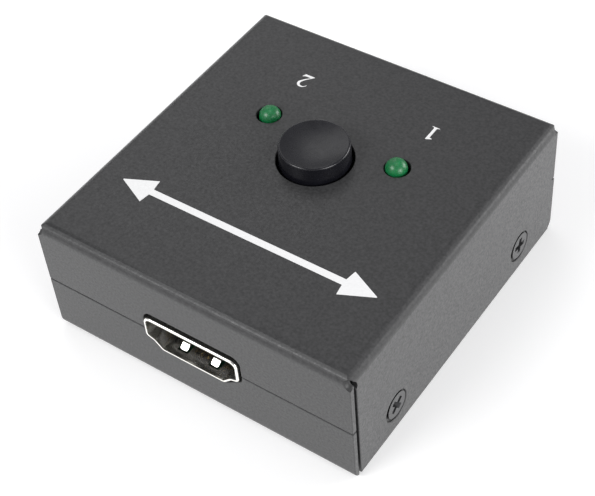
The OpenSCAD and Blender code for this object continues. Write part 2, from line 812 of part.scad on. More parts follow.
module latch_groove() {
    corner = latch_d / 2;
    plan = [
        [groove_w / 2, 0, corner], [groove_w / 2, groove_h, corner],
        [-groove_w / 2, groove_h, corner], [-groove_w / 2, 0, corner]
    ];
    translate([0, slider_d / 2 - groove_depth, groove_low_z]) upright(groove_depth + over)
        difference() {
            polygon(rounded_points(plan));
            translate([0, heart_z]) heart_outline(heart_w);
        }
}

module switch_plunger() {
    slider_h = slider_top_z - slider_low_z;
    color(nylon_white) at_switch() difference() {
        union() {
            translate([-slider_w / 2, -slider_d / 2, slider_low_z])
                cube([slider_w, slider_d, slider_h]);
            translate([-stem_w / 2, -stem_d / 2, slider_low_z])
                cube([stem_w, stem_d, stem_top_z - slider_low_z]);
        }
        translate([0, 0, slider_low_z - over])
            cylinder(h = spring_seat_z - slider_low_z + over, r = spring_bore_r);
        latch_groove();
        // Pockets of the two contact bridges
        for (side = [0, 1]) mirror([side, 0, 0])
            translate([slider_w / 2 - bridge_sink, -bridge_span / 2 - thread_gap,
                    bridge_low_z - thread_gap])
                cube([bridge_sink + over, bridge_span + 2 * thread_gap,
                    bridge_h + 2 * thread_gap]);
    }
}

// Contact bridges: one leaf on each side of the slider, with two raised contact points
module switch_bridges() {
    point_r = blade_w / 4;
    color(gold) at_switch() for (side = [0, 1]) mirror([side, 0, 0])
        translate([slider_w / 2 - bridge_sink, 0, bridge_low_z]) {
            translate([0, -bridge_span / 2, 0]) cube([bridge_t, bridge_span, bridge_h]);
            for (end = [-1, 1]) translate([bridge_t, end * blade_pitch / 2, bridge_h / 2])
                rotate([0, 90, 0]) cylinder(h = bridge_sink, r1 = point_r, r2 = point_r / 2);
        }
}

// Points of one ring of the spring's wire, and the coil swept through all rings
spring_sides = 6;
rings_per_turn = 14;
spring_rings = spring_turns * rings_per_turn;
spring_mid_r = (spring_d - spring_wire) / 2;
spring_low_z = base_top_z + spring_wire / 2;
spring_rise = spring_seat_z - base_top_z - spring_wire;

function spring_ring(i) = let (a = 360 * i / rings_per_turn, z = spring_low_z
        + spring_rise * i / spring_rings)
    [for (k = [0 : spring_sides - 1]) let (b = 360 * k / spring_sides,
            r = spring_mid_r + spring_wire / 2 * cos(b))
        [r * cos(a), r * sin(a), z + spring_wire / 2 * sin(b)]];

module switch_spring() {
    points = [for (i = [0 : spring_rings]) each spring_ring(i)];
    last = spring_rings * spring_sides;
    faces = concat(
        [[for (k = [0 : spring_sides - 1]) k]],
        [for (i = [0 : spring_rings - 1], k = [0 : spring_sides - 1])
            let (a = i * spring_sides + k, b = i * spring_sides + (k + 1) % spring_sides)
            each [[a, a + spring_sides, b], [b, a + spring_sides, b + spring_sides]]],
        [[for (k = [spring_sides - 1 : -1 : 0]) last + k]]
    );
    color(tin) at_switch() polyhedron(points = points, faces = faces);
}

module switch_housing() {
    color(resin_black) at_switch() difference() {
        translate([-switch_w / 2, -switch_w / 2, base_top_z])
            cube([switch_w, switch_w, housing_top_z - base_top_z]);
        translate([-housing_in / 2, -housing_in / 2, base_top_z - over])
            cube([housing_in, housing_in, housing_top_z - switch_wall - base_top_z + over]);
        translate([-stem_w / 2 - stem_gap, -stem_d / 2 - stem_gap, housing_top_z - switch_wall - over])
            cube([stem_w + 2 * stem_gap, stem_d + 2 * stem_gap, switch_wall + 2 * over]);
        // Pivot hole of the latch pin
        translate([0, housing_in / 2 - over, latch_foot_z]) rotate([-90, 0, 0])
            cylinder(h = switch_wall / 2 + over, d = latch_d + 2 * thread_gap);
    }
}

module at_terminals() {
    for (side = [0, 1], place = [-1, 0, 1])
        mirror([side, 0, 0]) translate([blade_x + blade_t / 2, button_y + place * blade_pitch, 0])
            children();
}

module switch_base() {
    color(resin_black) difference() {
        at_switch() translate([-switch_w / 2, -switch_w / 2, board_top])
            cube([switch_w, switch_w, base_t]);
        at_terminals() translate([-blade_t / 2 - thread_gap, -blade_w / 2 - thread_gap,
                board_top - over])
            cube([blade_t + 2 * thread_gap, blade_w + 2 * thread_gap, base_t + 2 * over]);
    }
}

module switch_terminals() {
    low_z = board_z - pin_reach;
    color(brass_yellow) at_terminals() translate([-blade_t / 2, -blade_w / 2, low_z])
        cube([blade_t, blade_w, slider_top_z - low_z]);
}

// Bent wire: foot in the housing, tip in the left lane of the slider's groove
module latch_pin() {
    rise = latch_tip_z - latch_foot_z;
    lean = norm([lane_x, rise]);
    tip_reach = latch_y - slider_d / 2 + groove_depth - thread_gap;
    foot_reach = housing_in / 2 + switch_wall / 2 - thread_gap - latch_y;
    color(tin) at_switch() translate([0, latch_y, latch_foot_z]) {
        sphere(d = elbow_share * latch_d);
        rotate([-90, 0, 0]) cylinder(h = foot_reach, d = latch_d);
        rotate([0, atan2(-lane_x, rise), 0]) cylinder(h = lean, d = latch_d);
        translate([-lane_x, 0, rise]) {
            sphere(d = elbow_share * latch_d);
            rotate([90, 0, 0]) cylinder(h = tip_reach, d = latch_d);
        }
    }
}

// Lights

module at_leds() {
    for (side = [-1, 1]) translate([side * led_x, led_y, 0]) children();
}

module at_led_leads() {
    for (side = [-1, 1]) translate([side * led_lead_pitch / 2, 0, 0]) children();
}

module led_lens(side) {
    color(lens_green) translate([side * led_x, led_y, led_low_z]) {
        // Collar with the flat that marks one lead
        difference() {
            cylinder(h = led_collar_h, d = led_collar_d);
            translate([led_d / 2 + thread_gap, -led_collar_d / 2, -over])
                cube([led_collar_d, led_collar_d, led_collar_h + 2 * over]);
        }
        cylinder(h = led_body_h, d = led_d);
        translate([0, 0, led_body_h]) sphere(d = led_d);
    }
}

module led_leads(side) {
    low_z = board_z - pin_reach;
    color(tin) translate([side * led_x, led_y, low_z]) at_led_leads()
        translate([-led_lead_t / 2, -led_lead_t / 2, 0])
            cube([led_lead_t, led_lead_t, led_low_z - low_z]);
}

module led_1_lens() { led_lens(1); }
module led_1_leads() { led_leads(1); }
module led_2_lens() { led_lens(-1); }
module led_2_leads() { led_leads(-1); }

// Parts on the board

module at_chip() {
    translate([area_x, area_y, board_top]) children();
}

module switching_chip() {
    color(resin_black) at_chip() difference() {
        translate([-chip_w / 2, -chip_w / 2, chip_lift]) cube([chip_w, chip_w, chip_h]);
        translate([-chip_dot, chip_dot, chip_lift + chip_h - chip_lead_t])
            cylinder(h = chip_h, d = small_part_w);
    }
}

// Gull-wing leads in a row along each side of the chip
module chip_leads() {
    knee = chip_w / 2 + chip_lead_reach / 3;
    toe = chip_w / 2 + chip_lead_reach;
    level = chip_lift + chip_h / 2;
    side_view = [
        [chip_w / 2, level], [knee - chip_lead_t, level], [knee, 0], [toe, 0],
        [toe, chip_lead_t], [knee + chip_lead_t, chip_lead_t], [knee, level + chip_lead_t],
        [chip_w / 2, level + chip_lead_t]
    ];
    color(tin) at_chip() for (turn = [0 : 90 : 270], i = [0 : chip_leads_per_side - 1])
        rotate([0, 0, turn])
            translate([0, (i - (chip_leads_per_side - 1) / 2) * chip_lead_pitch, 0])
                rotate([90, 0, 0])
                    linear_extrude(height = chip_lead_w, center = true) polygon(side_view);
}

// Column of small parts on the other side of the switch, to the left or right of its middle
module at_small_parts(side) {
    for (row = [0 : small_part_rows - 1])
        translate([side * small_part_l - area_x,
                area_y + (row - (small_part_rows - 1) / 2) * small_part_pitch, board_top])
            children();
}

module resistors() {
    color(resin_black) at_small_parts(1)
        translate([-small_part_l / 2, -small_part_w / 2, 0])
            cube([small_part_l, small_part_w, resistor_h]);
}

module capacitors() {
    color(brass_yellow) at_small_parts(-1)
        translate([-small_part_l / 2, -small_part_w / 2, 0])
            cube([small_part_l, small_part_w, capacitor_h]);
}

top_cover();
bottom_cover();
cover_screws();
board_standoffs();
board_screws();
circuit_board();
front_port_shell();
front_port_tongue();
front_port_contacts();
rear_port_1_shell();
rear_port_1_tongue();
rear_port_1_contacts();
rear_port_2_shell();
rear_port_2_tongue();
rear_port_2_contacts();
button_cap();
switch_plunger();
switch_bridges();
switch_spring();
switch_housing();
switch_base();
switch_terminals();
latch_pin();
led_1_lens();
led_1_leads();
led_2_lens();
led_2_leads();
switching_chip();
chip_leads();
resistors();
capacitors();
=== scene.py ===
"""Two-way video switch box: folded steel case, three video ports, push button and two lights.

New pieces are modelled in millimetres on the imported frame's own axes and scaled to metres when
they are finished. +Z is up, the face with the single port looks along -Y. A side is -1 or 1
along x, and an end is -1 or 1 along y.
"""

import logging
import math
from collections.abc import Callable, Iterator
from contextlib import contextmanager
from dataclasses import dataclass
from enum import Enum
from functools import cached_property

import bmesh
import bpy
from mathutils import Matrix, Vector

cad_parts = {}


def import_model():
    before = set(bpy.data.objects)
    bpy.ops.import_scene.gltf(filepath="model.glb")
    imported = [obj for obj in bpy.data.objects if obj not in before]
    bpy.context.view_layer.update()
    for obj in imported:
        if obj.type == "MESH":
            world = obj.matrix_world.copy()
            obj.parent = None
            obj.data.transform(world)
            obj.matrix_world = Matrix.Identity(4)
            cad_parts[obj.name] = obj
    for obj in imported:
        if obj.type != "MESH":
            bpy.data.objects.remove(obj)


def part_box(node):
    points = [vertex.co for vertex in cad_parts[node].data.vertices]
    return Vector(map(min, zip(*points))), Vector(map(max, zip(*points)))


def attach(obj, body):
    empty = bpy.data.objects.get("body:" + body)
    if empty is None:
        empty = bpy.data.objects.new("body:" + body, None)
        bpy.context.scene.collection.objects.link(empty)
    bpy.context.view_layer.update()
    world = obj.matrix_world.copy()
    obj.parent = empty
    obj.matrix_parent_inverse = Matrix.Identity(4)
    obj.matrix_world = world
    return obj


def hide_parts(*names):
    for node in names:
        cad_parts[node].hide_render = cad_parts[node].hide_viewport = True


log = logging.getLogger("switch_box")

# One millimetre in metres
MM = 0.001
# Distance within which a place counts as met
NEAR = 0.001
# Distances within which points merge, on large forms and on those with small faces
MERGE = 0.002
MERGE_FINE = 0.0005
# How far a cutter reaches past what it cuts
OVER = 0.5
# How far a cutter's face keeps off a face that is already rounded
HAIR = 0.03
# Least cosine between a face's normal and a direction that it looks along
FACING = 0.9995
# Least angle of an edge that stays in a flat face, and of one that is rounded
FLAT_ANGLE = math.radians(0.5)
SHARP_ANGLE = math.radians(35)
# Faces round a ball, round a drum, and across an outline's rounded corner
BALL_SIDES = 48
DRUM_SIDES = 64
CORNER_STEPS = 8
# Side and end of each corner
CORNERS = ((-1, -1), (-1, 1), (1, -1), (1, 1))

Piece = bpy.types.Object
Socket = bpy.types.NodeSocket
Colour = tuple[float, float, float]
Point = tuple[float, float, float]
Spot = tuple[float, float]
Rungs = tuple[tuple[Spot, Spot], ...]


class Body(Enum):
    """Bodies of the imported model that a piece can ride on."""

    CASE = "case"
    BUTTON = "button"


class Kind(Enum):
    """Kinds of mesh element that can be selected."""

    POINT = "VERT"
    EDGE = "EDGE"
    FACE = "FACE"


# Modelling moves


def deselect() -> None:
    """Deselects every object."""
    bpy.ops.object.select_all(action="DESELECT")


def activate(obj: Piece) -> None:
    """Makes an object the only selected one and the active one.

    Args:
        obj: The object.
    """
    deselect()
    obj.select_set(True)
    bpy.context.view_layer.objects.active = obj


def settle(obj: Piece) -> None:
    """Applies an object's own place, turn and scale to its mesh."""
    activate(obj)
    bpy.ops.object.transform_apply(location=True, rotation=True, scale=True)


def place(obj: Piece, where: Matrix) -> None:
    """Moves an object's mesh by a matrix."""
    obj.matrix_world = where
    settle(obj)


def faced(sign: int) -> Matrix:
    """Gives no turn for 1 and half a turn about Z for -1."""
    return Matrix.Rotation(math.pi * (1 - sign) / 2, 4, "Z")


def sideways(side: float) -> Matrix:
    """Gives the turn that lays the Z axis along x towards a side."""
    return Matrix.Rotation(math.radians(90 * side), 4, "Y")


@contextmanager
def editing(obj: Piece) -> Iterator[None]:
    """Holds an object in edit mode with nothing selected.

    Args:
        obj: The object.

    Yields:
        Nothing.
    """
    activate(obj)
    bpy.ops.object.mode_set(mode="EDIT")
    bpy.ops.mesh.select_all(action="DESELECT")
    try:
        yield
    finally:
        bpy.ops.object.mode_set(mode="OBJECT")


def pick(kind: Kind, test: Callable[[Vector, object], bool]) -> None:
    """Selects the elements of the mesh in edit mode that pass a test.

    Args:
        kind: The kind of element.
        test: Takes an element's middle and the element, and says whether to select it.
    """
    bpy.ops.mesh.select_mode(type=kind.value)
    bpy.ops.mesh.select_all(action="DESELECT")
    data = bpy.context.object.data
    mesh = bmesh.from_edit_mesh(data)
    groups = {Kind.POINT: mesh.verts, Kind.EDGE: mesh.edges, Kind.FACE: mesh.faces}
    for element in groups[kind]:
        if kind is Kind.POINT:
            middle = element.co
        elif kind is Kind.EDGE:
            middle = (element.verts[0].co + element.verts[1].co) / 2
        else:
            middle = element.calc_center_median()
        if test(middle, element):
            element.select_set(True)
    mesh.select_flush_mode()
    bmesh.update_edit_mesh(data)


def pick_facing(way: Point) -> None:
    """Selects the faces of the mesh in edit mode that look along a unit direction."""
    pick(Kind.FACE, lambda _, face: face.normal.dot(Vector(way)) > FACING)


def pick_all_faces() -> None:
    """Selects every face of the mesh in edit mode."""
    bpy.ops.mesh.select_mode(type="FACE")
    bpy.ops.mesh.select_all(action="SELECT")


def open_towards(*ways: Point) -> None:
    """Deletes the faces of the mesh in edit mode that look along the directions."""
    for way in ways:
        pick_facing(way)
        bpy.ops.mesh.delete(type="FACE")


def round_edges(radius: float, steps: int, test: Callable[[Vector], bool]) -> None:
    """Rounds the edges of the mesh in edit mode whose middles pass a test."""
    pick(Kind.EDGE, lambda middle, _: test(middle))
    bpy.ops.mesh.bevel(offset=radius, segments=steps, affect="EDGES")


def extrude(way: Point) -> None:
    """Extrudes what is selected in edit mode along a move."""
    bpy.ops.mesh.extrude_region_move(TRANSFORM_OT_translate={"value": way})


def face_outwards() -> None:
    """Points all faces of the mesh in edit mode outwards."""
    bpy.ops.mesh.select_all(action="SELECT")
    bpy.ops.mesh.normals_make_consistent(inside=False)


def fresh(name: str) -> Piece:
    """Names the primitive that was just added and settles it.

    Args:
        name: Its name.

    Returns:
        The primitive.
    """
    obj = bpy.context.object
    obj.name = name
    settle(obj)
    return obj


def block(name: str, corner: Point, opposite: Point) -> Piece:
    """Adds a box between two opposite corners.

    Args:
        name: Name of the object.
        corner: One corner.
        opposite: The opposite corner.

    Returns:
        The box.
    """
    deselect()
    first, second = Vector(corner), Vector(opposite)
    bpy.ops.mesh.primitive_cube_add(size=1, location=(first + second) / 2)
    bpy.context.object.scale = [abs(size) for size in second - first]
    return fresh(name)


def drum(
    name: str, low_radius: float, high_radius: float, low: float, high: float,
    sides: int = DRUM_SIDES,
) -> Piece:
    """Adds a cylinder or cone frustum on the Z axis.

    Args:
        name: Name of the object.
        low_radius: Radius at its lower end.
        high_radius: Radius at its upper end.
        low: Height of its lower end.
        high: Height of its upper end.
        sides: Number of sides.

    Returns:
        The drum.
    """
    deselect()
    bpy.ops.mesh.primitive_cone_add(
        vertices=sides, radius1=low_radius, radius2=high_radius,
        depth=high - low, location=(0, 0, (low + high) / 2),
    )
    return fresh(name)


def ball(name: str, radius: float, middle: Point) -> Piece:
    """Adds a ball.

    Args:
        name: Name of the object.
        radius: Its radius.
        middle: Its centre.

    Returns:
        The ball.
    """
    deselect()
    bpy.ops.mesh.primitive_uv_sphere_add(
        segments=BALL_SIDES, ring_count=BALL_SIDES // 2, radius=radius, location=middle
    )
    return fresh(name)


def copy_of(obj: Piece, name: str, where: Matrix) -> Piece:
    """Copies an object with its own mesh and places the copy.

    Args:
        obj: The object to copy.
        name: Name of the copy.
        where: Where the copy goes.

    Returns:
        The copy.
    """
    activate(obj)
    bpy.ops.object.duplicate(linked=False)
    twin = bpy.context.object
    twin.name = name
    place(twin, where)
    return twin


def apply_modifier(obj: Piece, kind: str, **settings: object) -> None:
    """Adds a modifier to an object and applies it.

    Args:
        obj: The object.
        kind: Blender's name for the kind of modifier.
        **settings: The modifier's settings.
    """
    activate(obj)
    modifier = obj.modifiers.new(kind.lower(), kind)
    for key, value in settings.items():
        setattr(modifier, key, value)
    bpy.ops.object.modifier_apply(modifier=modifier.name)


def give_wall(sheet: Piece, wall: float) -> None:
    """Gives a sheet without thickness a wall behind its faces."""
    apply_modifier(sheet, "SOLIDIFY", thickness=wall, offset=-1, use_even_offset=True)


def combine(obj: Piece, tool: Piece, operation: str) -> None:
    """Cuts an object with another or joins that one to it, and removes the other."""
    apply_modifier(obj, "BOOLEAN", operation=operation, object=tool, solver="EXACT")
    bpy.data.objects.remove(tool)


def cut(obj: Piece, tool: Piece) -> None:
    """Cuts an object with another one, which is then removed."""
    combine(obj, tool, "DIFFERENCE")


def fuse(obj: Piece, tool: Piece) -> None:
    """Joins another object onto an object."""
    combine(obj, tool, "UNION")


def cut_block(obj: Piece, corner: Point, opposite: Point) -> None:
    """Cuts the box between two opposite corners out of an object."""
    cut(obj, block("cutter", corner, opposite))


def drill(
    obj: Piece, radius: float, low: float, high: float, where: Matrix,
    sides: int = DRUM_SIDES,
) -> None:
    """Drills a round hole into an object.

    Args:
        obj: The object.
        radius: Radius of the hole.
        low: Lower end of the drill, on the drill's own axis.
        high: Its upper end.
        where: Where the drill goes.
        sides: Number of the hole's sides.
    """
    tool = drum("cutter", radius, radius, low, high, sides)
    place(tool, where)
    cut(obj, tool)


def merge(obj: Piece) -> None:
    """Merges doubled points of an object with small faces, which all stay.

    Args:
        obj: The object.
    """
    with editing(obj):
        bpy.ops.mesh.select_all(action="SELECT")
        bpy.ops.mesh.remove_doubles(threshold=MERGE_FINE)
        face_outwards()


def clean(obj: Piece) -> None:
    """Merges an object's doubled points and dissolves edges inside flat faces.

    Args:
        obj: The object.
    """
    with editing(obj):
        bpy.ops.mesh.select_all(action="SELECT")
        bpy.ops.mesh.remove_doubles(threshold=MERGE)
        bpy.ops.mesh.dissolve_limited(angle_limit=FLAT_ANGLE)
        face_outwards()


def smooth(obj: Piece, angle: float = 40) -> None:
    """Shades an object smooth below an angle, with flat faces kept flat.

    Args:
        obj: The object.
        angle: The angle in degrees.
    """
    activate(obj)
    bpy.ops.object.shade_smooth_by_angle(angle=math.radians(angle))
    apply_modifier(obj, "WEIGHTED_NORMAL", keep_sharp=True, weight=100)


def soften(obj: Piece, width: float, steps: int = 2) -> None:
    """Rounds an object's sharp edges and shades it smooth.

    Args:
        obj: The object.
        width: Width of the rounding.
        steps: Faces across the rounding.
    """
    clean(obj)
    apply_modifier(
        obj, "BEVEL", width=width, segments=steps, limit_method="ANGLE",
        angle_limit=SHARP_ANGLE, use_clamp_overlap=False, loop_slide=False,
        miter_outer="MITER_ARC",
    )
    smooth(obj)


def ribbon(name: str, pairs: list[tuple[Point, Point]]) -> Piece:
    """Models a strip whose rungs run between pairs of points.

    Args:
        name: Name of the object.
        pairs: Left and right end of each rung.

    Returns:
        The strip.
    """
    deselect()
    rows = len(pairs) - 1
    parked = 100.0
    bpy.ops.mesh.primitive_grid_add(
        x_subdivisions=1, y_subdivisions=rows, size=2, location=(0, 0, parked)
    )
    strip = fresh(name)
    with editing(strip):
        for number, pair in enumerate(pairs):
            for side, target in zip((-1, 1), pair):
                start = Vector((side, 2 * number / rows - 1, parked))
                pick(Kind.POINT, lambda middle, _: (middle - start).length < NEAR)
                bpy.ops.transform.translate(value=Vector(target) - start)
    return strip


def thicken(sheet: Piece, way: Point) -> None:
    """Extrudes a sheet without thickness into a solid.

    Args:
        sheet: The sheet.
        way: Direction and thickness.
    """
    with editing(sheet):
        pick_all_faces()
        extrude(way)
        face_outwards()


@dataclass(frozen=True)
class Rung:
    """One level of an outline that is mirrored about x = 0.

    Attributes:
        half: Half of the outline's width at this level.
        height: Height of the level.
        radius: Radius of the outline's corner there.
    """

    half: float
    height: float
    radius: float


def corner_cut(before: Vector, here: Vector, after: Vector, radius: float) -> float:
    """Gives the length that a corner's rounding takes from each of its two edges."""
    turn = (here - before).angle(after - here)
    return radius * math.tan(turn / 2)


def outline_ring(rungs: list[Rung]) -> list[Vector]:
    """Gives the right half of an outline with one corner of the left half at each end."""
    corners = [Vector((rung.half, rung.height)) for rung in rungs]
    first, last = corners[0], corners[-1]
    return [Vector((-first.x, first.y)), *corners, Vector((-last.x, last.y))]


def grown(rungs: list[Rung], gap: float) -> list[Rung]:
    """Moves an outline outwards.

    Args:
        rungs: Levels of the outline, the lowest first.
        gap: Distance by which it moves.

    Returns:
        Levels of the moved outline.
    """
    ring = outline_ring(rungs)
    result = []
    for number, rung in enumerate(rungs):
        before = (ring[number + 1] - ring[number]).normalized()
        after = (ring[number + 2] - ring[number + 1]).normalized()
        first, second = Vector((before.y, -before.x)), Vector((after.y, -after.x))
        corner = ring[number + 1] + gap * (first + second) / (1 + first.dot(second))
        bend = math.copysign(1, first.cross(second))
        result.append(Rung(corner.x, corner.y, max(rung.radius + bend * gap, 0)))
    return result


def outline_prism(name: str, rungs: list[Rung], depth: float) -> Piece:
    """Models a prism from y = 0 to y = depth with a mirrored, rounded outline.

    Args:
        name: Name of the object.
        rungs: Levels of the outline, the lowest first.
        depth: Depth of the prism.

    Returns:
        The prism.
    """
    levels = [((-rung.half, 0, rung.height), (rung.half, 0, rung.height)) for rung in rungs]
    prism = ribbon(name, levels)
    ring = outline_ring(rungs)
    with editing(prism):
        pick_all_faces()
        bpy.ops.mesh.dissolve_faces(use_verts=False)
        for number, rung in enumerate(rungs):
            if not rung.radius:
                continue
            here = ring[number + 1]
            pick(
                Kind.POINT,
                lambda middle, _: abs(abs(middle.x) - here.x) < NEAR
                and abs(middle.z - here.y) < NEAR,
            )
            reach = corner_cut(ring[number], here, ring[number + 2], rung.radius)
            bpy.ops.mesh.bevel(
                offset=reach, offset_type="OFFSET", segments=CORNER_STEPS, affect="VERTICES"
            )
    thicken(prism, (0, depth, 0))
    return prism


def refined(
    node: str, name: str, width: float, room: tuple[Point, Point] | None = None
) -> Piece:
    """Copies a CAD node, merges the copy's loose triangles and rounds its edges.

    Args:
        node: Name of the CAD node.
        name: Name of the copy.
        width: Width of the rounding.
        room: Opposite corners of a box that is cut out of it first.

    Returns:
        The copy, in millimetres.
    """
    deselect()
    bpy.ops.mesh.primitive_cube_add()
    twin = bpy.context.object
    twin.name = name
    twin.data = bpy.data.objects[node].data.copy()
    place(twin, Matrix.Scale(1 / MM, 4))
    if room:
        clean(twin)
        cut_block(twin, *room)
    soften(twin, width)
    return twin


def dress(obj: Piece, material: bpy.types.Material) -> None:
    """Puts a material on the whole of an object."""
    obj.data.materials.clear()
    obj.data.materials.append(material)


def hand_over(
    obj: Piece, finish: "Finish", body: Body, nodes: tuple[str, ...] = ()
) -> None:
    """Scales a finished piece to metres, dresses it and ties it to the frame.

    Args:
        obj: The piece.
        finish: Its finish.
        body: The body that it rides on.
        nodes: The CAD nodes that it stands for.
    """
    place(obj, Matrix.Scale(MM, 4))
    dress(obj, finish.material())
    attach(obj, body.value)
    if nodes:
        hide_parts(*nodes)
    log.info("%s in %s rides on %s", obj.name, finish.name, body.value)


# Finishes


class Graph:
    """Node tree of a material or world, with short calls for adding and linking nodes.

    Attributes:
        OCTAVES: Octaves of finer features in a noise pattern.
        FINENESS: Weight of its finer features.
        MIDDLE: Range of its values that is spread over the wanted range.
    """

    OCTAVES = 3
    FINENESS = 0.55
    MIDDLE = (0.3, 0.7)

    def __init__(self, owner: bpy.types.ID) -> None:
        """Opens the node tree of a material or world.

        Args:
            owner: The material or world.
        """
        owner.use_nodes = True
        self.tree = owner.node_tree
        nodes = self.tree.nodes
        self.shader = nodes.get("Principled BSDF") or nodes["Background"]

    @cached_property
    def place(self) -> Socket:
        """Gives the object's own coordinates."""
        return self.add("ShaderNodeTexCoord").outputs["Object"]

    def feed(self, socket: Socket, value: object) -> None:
        """Links a socket to an input or sets the input's value.

        Args:
            socket: The input.
            value: A socket or a value.
        """
        if isinstance(value, Socket):
            self.tree.links.new(value, socket)
        else:
            socket.default_value = value

    def fill(self, node: bpy.types.Node, **inputs: object) -> None:
        """Feeds inputs of a node, each named with _ for a space."""
        for key, value in inputs.items():
            self.feed(node.inputs[key.replace("_", " ")], value)

    def add(self, kind: str, **inputs: object) -> bpy.types.Node:
        """Adds a node and feeds its inputs.

        Args:
            kind: Blender's name for the kind of node.
            **inputs: Values or sockets for the inputs, by name.

        Returns:
            The node.
        """
        node = self.tree.nodes.new(kind)
        self.fill(node, **inputs)
        return node

    def compute(self, operation: str, *values: object) -> Socket:
        """Computes a number.

        Args:
            operation: Blender's name for the operation.
            *values: The numbers or their sockets.

        Returns:
            The result.
        """
        node = self.add("ShaderNodeMath")
        node.operation = operation
        for socket, value in zip(node.inputs, values):
            self.feed(socket, value)
        return node.outputs[0]

    def noise(self, size_mm: float) -> Socket:
        """Adds a noise pattern on the object's own coordinates.

        Args:
            size_mm: Size of its features.

        Returns:
            The pattern from 0 to 1.
        """
        node = self.add(
            "ShaderNodeTexNoise", Vector=self.place, Scale=1 / (size_mm * MM),
            Detail=self.OCTAVES, Roughness=self.FINENESS,
        )
        return node.outputs["Fac"]

    def spread(self, source: Socket, low: float, high: float) -> Socket:
        """Maps the middle of a pattern's range to a range of values.

        Args:
            source: The pattern.
            low: Value at its low end.
            high: Value at its high end.

        Returns:
            The mapped values.
        """
        start, end = self.MIDDLE
        node = self.add(
            "ShaderNodeMapRange", Value=source,
            From_Min=start, From_Max=end, To_Min=low, To_Max=high,
        )
        return node.outputs["Result"]

    def blend(self, share: object, first: object, second: object) -> Socket:
        """Mixes two colours.

        Args:
            share: Share of the second colour, or its socket.
            first: The first colour or its socket.
            second: The second colour or its socket.

        Returns:
            The mixed colour.
        """
        node = self.add("ShaderNodeMix")
        node.data_type = "RGBA"
        for index, value in ((0, share), (6, first), (7, second)):
            if isinstance(value, tuple):
                value = (*value, 1)
            self.feed(node.inputs[index], value)
        return node.outputs[2]

    def bump(self, height: Socket, depth_mm: float) -> None:
        """Raises the surface by a pattern, up to a height."""
        node = self.add("ShaderNodeBump", Height=height, Distance=depth_mm * MM, Strength=1.0)
        self.fill(self.shader, Normal=node.outputs["Normal"])


@dataclass(frozen=True)
class Finish:
    """Finish with a grain, a drift of its colour and a drift of its roughness.

    Attributes:
        name: Name of the material.
        slot: The record's material slot; not used by this script.
        colour: Base colour, linear.
        rough: Roughness.
        metal: Metallic share.
        drift: Share by which the colour varies.
        drift_mm: Size of the patches in which it varies.
        grain_mm: Size of the grain.
        relief_mm: Height of the grain.
        rough_drift: Amount by which the roughness varies.
    """

    name: str
    slot: str
    colour: Colour
    rough: float
    metal: float = 0.0
    drift: float = 0.12
    drift_mm: float = 2.0
    grain_mm: float = 0.25
    relief_mm: float = 0.002
    rough_drift: float = 0.06

    def shade(self, part: float) -> Colour:
        """Gives the base colour scaled by a factor."""
        return tuple(min(channel * part, 1.0) for channel in self.colour)

    def material(self) -> bpy.types.Material:
        """Gives the material, made at its first use."""
        return bpy.data.materials.get(self.name) or self.build()

    def build(self) -> bpy.types.Material:
        """Makes the material.

        Returns:
            The material.
        """
        material = bpy.data.materials.new(self.name)
        graph = Graph(material)
        patches = graph.spread(graph.noise(self.drift_mm), 0, 1)
        colour = graph.blend(patches, self.shade(1 - self.drift), self.shade(1 + self.drift))
        grain = graph.noise(self.grain_mm)
        rough = graph.spread(grain, self.rough - self.rough_drift, self.rough + self.rough_drift)
        graph.fill(graph.shader, Metallic=self.metal, Roughness=rough)
        graph.bump(grain, self.relief_mm)
        graph.fill(graph.shader, Base_Color=self.detail(graph, colour))
        return material

    def detail(self, graph: Graph, colour: Socket) -> Socket:
        """Adds what is special to a finish and gives the base colour, here nothing more."""
        return colour


@dataclass(frozen=True)
class PowderCoat(Finish):
    """Satin powder coat with a fine texture and scattered light specks.

    Attributes:
        speck: Colour of the specks.
        speck_pitch_mm: Size of the cells that may hold a speck.
        speck_share: Share of the cells that hold one.
        speck_mm: Radius of a speck.
    """

    speck: Colour = (0.22, 0.22, 0.22)
    speck_pitch_mm: float = 1.3
    speck_share: float = 0.05
    speck_mm: float = 0.09

    def detail(self, graph: Graph, colour: Socket) -> Socket:
        """Scatters the specks over the paint.

        Args:
            graph: The material's nodes.
            colour: The drifting base colour.

        Returns:
            The colour with the specks.
        """
        pitch = self.speck_pitch_mm
        cells = graph.add("ShaderNodeTexVoronoi", Vector=graph.place, Scale=1 / (pitch * MM))
        near = graph.compute("LESS_THAN", cells.outputs["Distance"], self.speck_mm / pitch)
        chosen = graph.compute("LESS_THAN", cells.outputs["Color"], self.speck_share)
        return graph.blend(graph.compute("MULTIPLY", near, chosen), colour, self.speck)


@dataclass(frozen=True)
class Epoxy(Finish):
    """Diffused epoxy of an unlit indicator light.

    Attributes:
        glow: Share of light that enters.
        depth_mm: Distance that light travels inside.
        reach: Share of that distance for each colour.
        coat: Weight of the clear skin.
        coat_rough: Roughness of the clear skin.
    """

    glow: float = 0.35
    depth_mm: float = 0.6
    reach: Colour = (0.2, 1.0, 0.4)
    coat: float = 0.25
    coat_rough: float = 0.3

    def detail(self, graph: Graph, colour: Socket) -> Socket:
        """Lets light into the epoxy.

        Args:
            graph: The material's nodes.
            colour: The drifting base colour.

        Returns:
            The same colour.
        """
        graph.fill(
            graph.shader,
            Subsurface_Weight=self.glow, Subsurface_Scale=self.depth_mm * MM,
            Subsurface_Radius=self.reach,
            Coat_Weight=self.coat, Coat_Roughness=self.coat_rough,
        )
        return colour


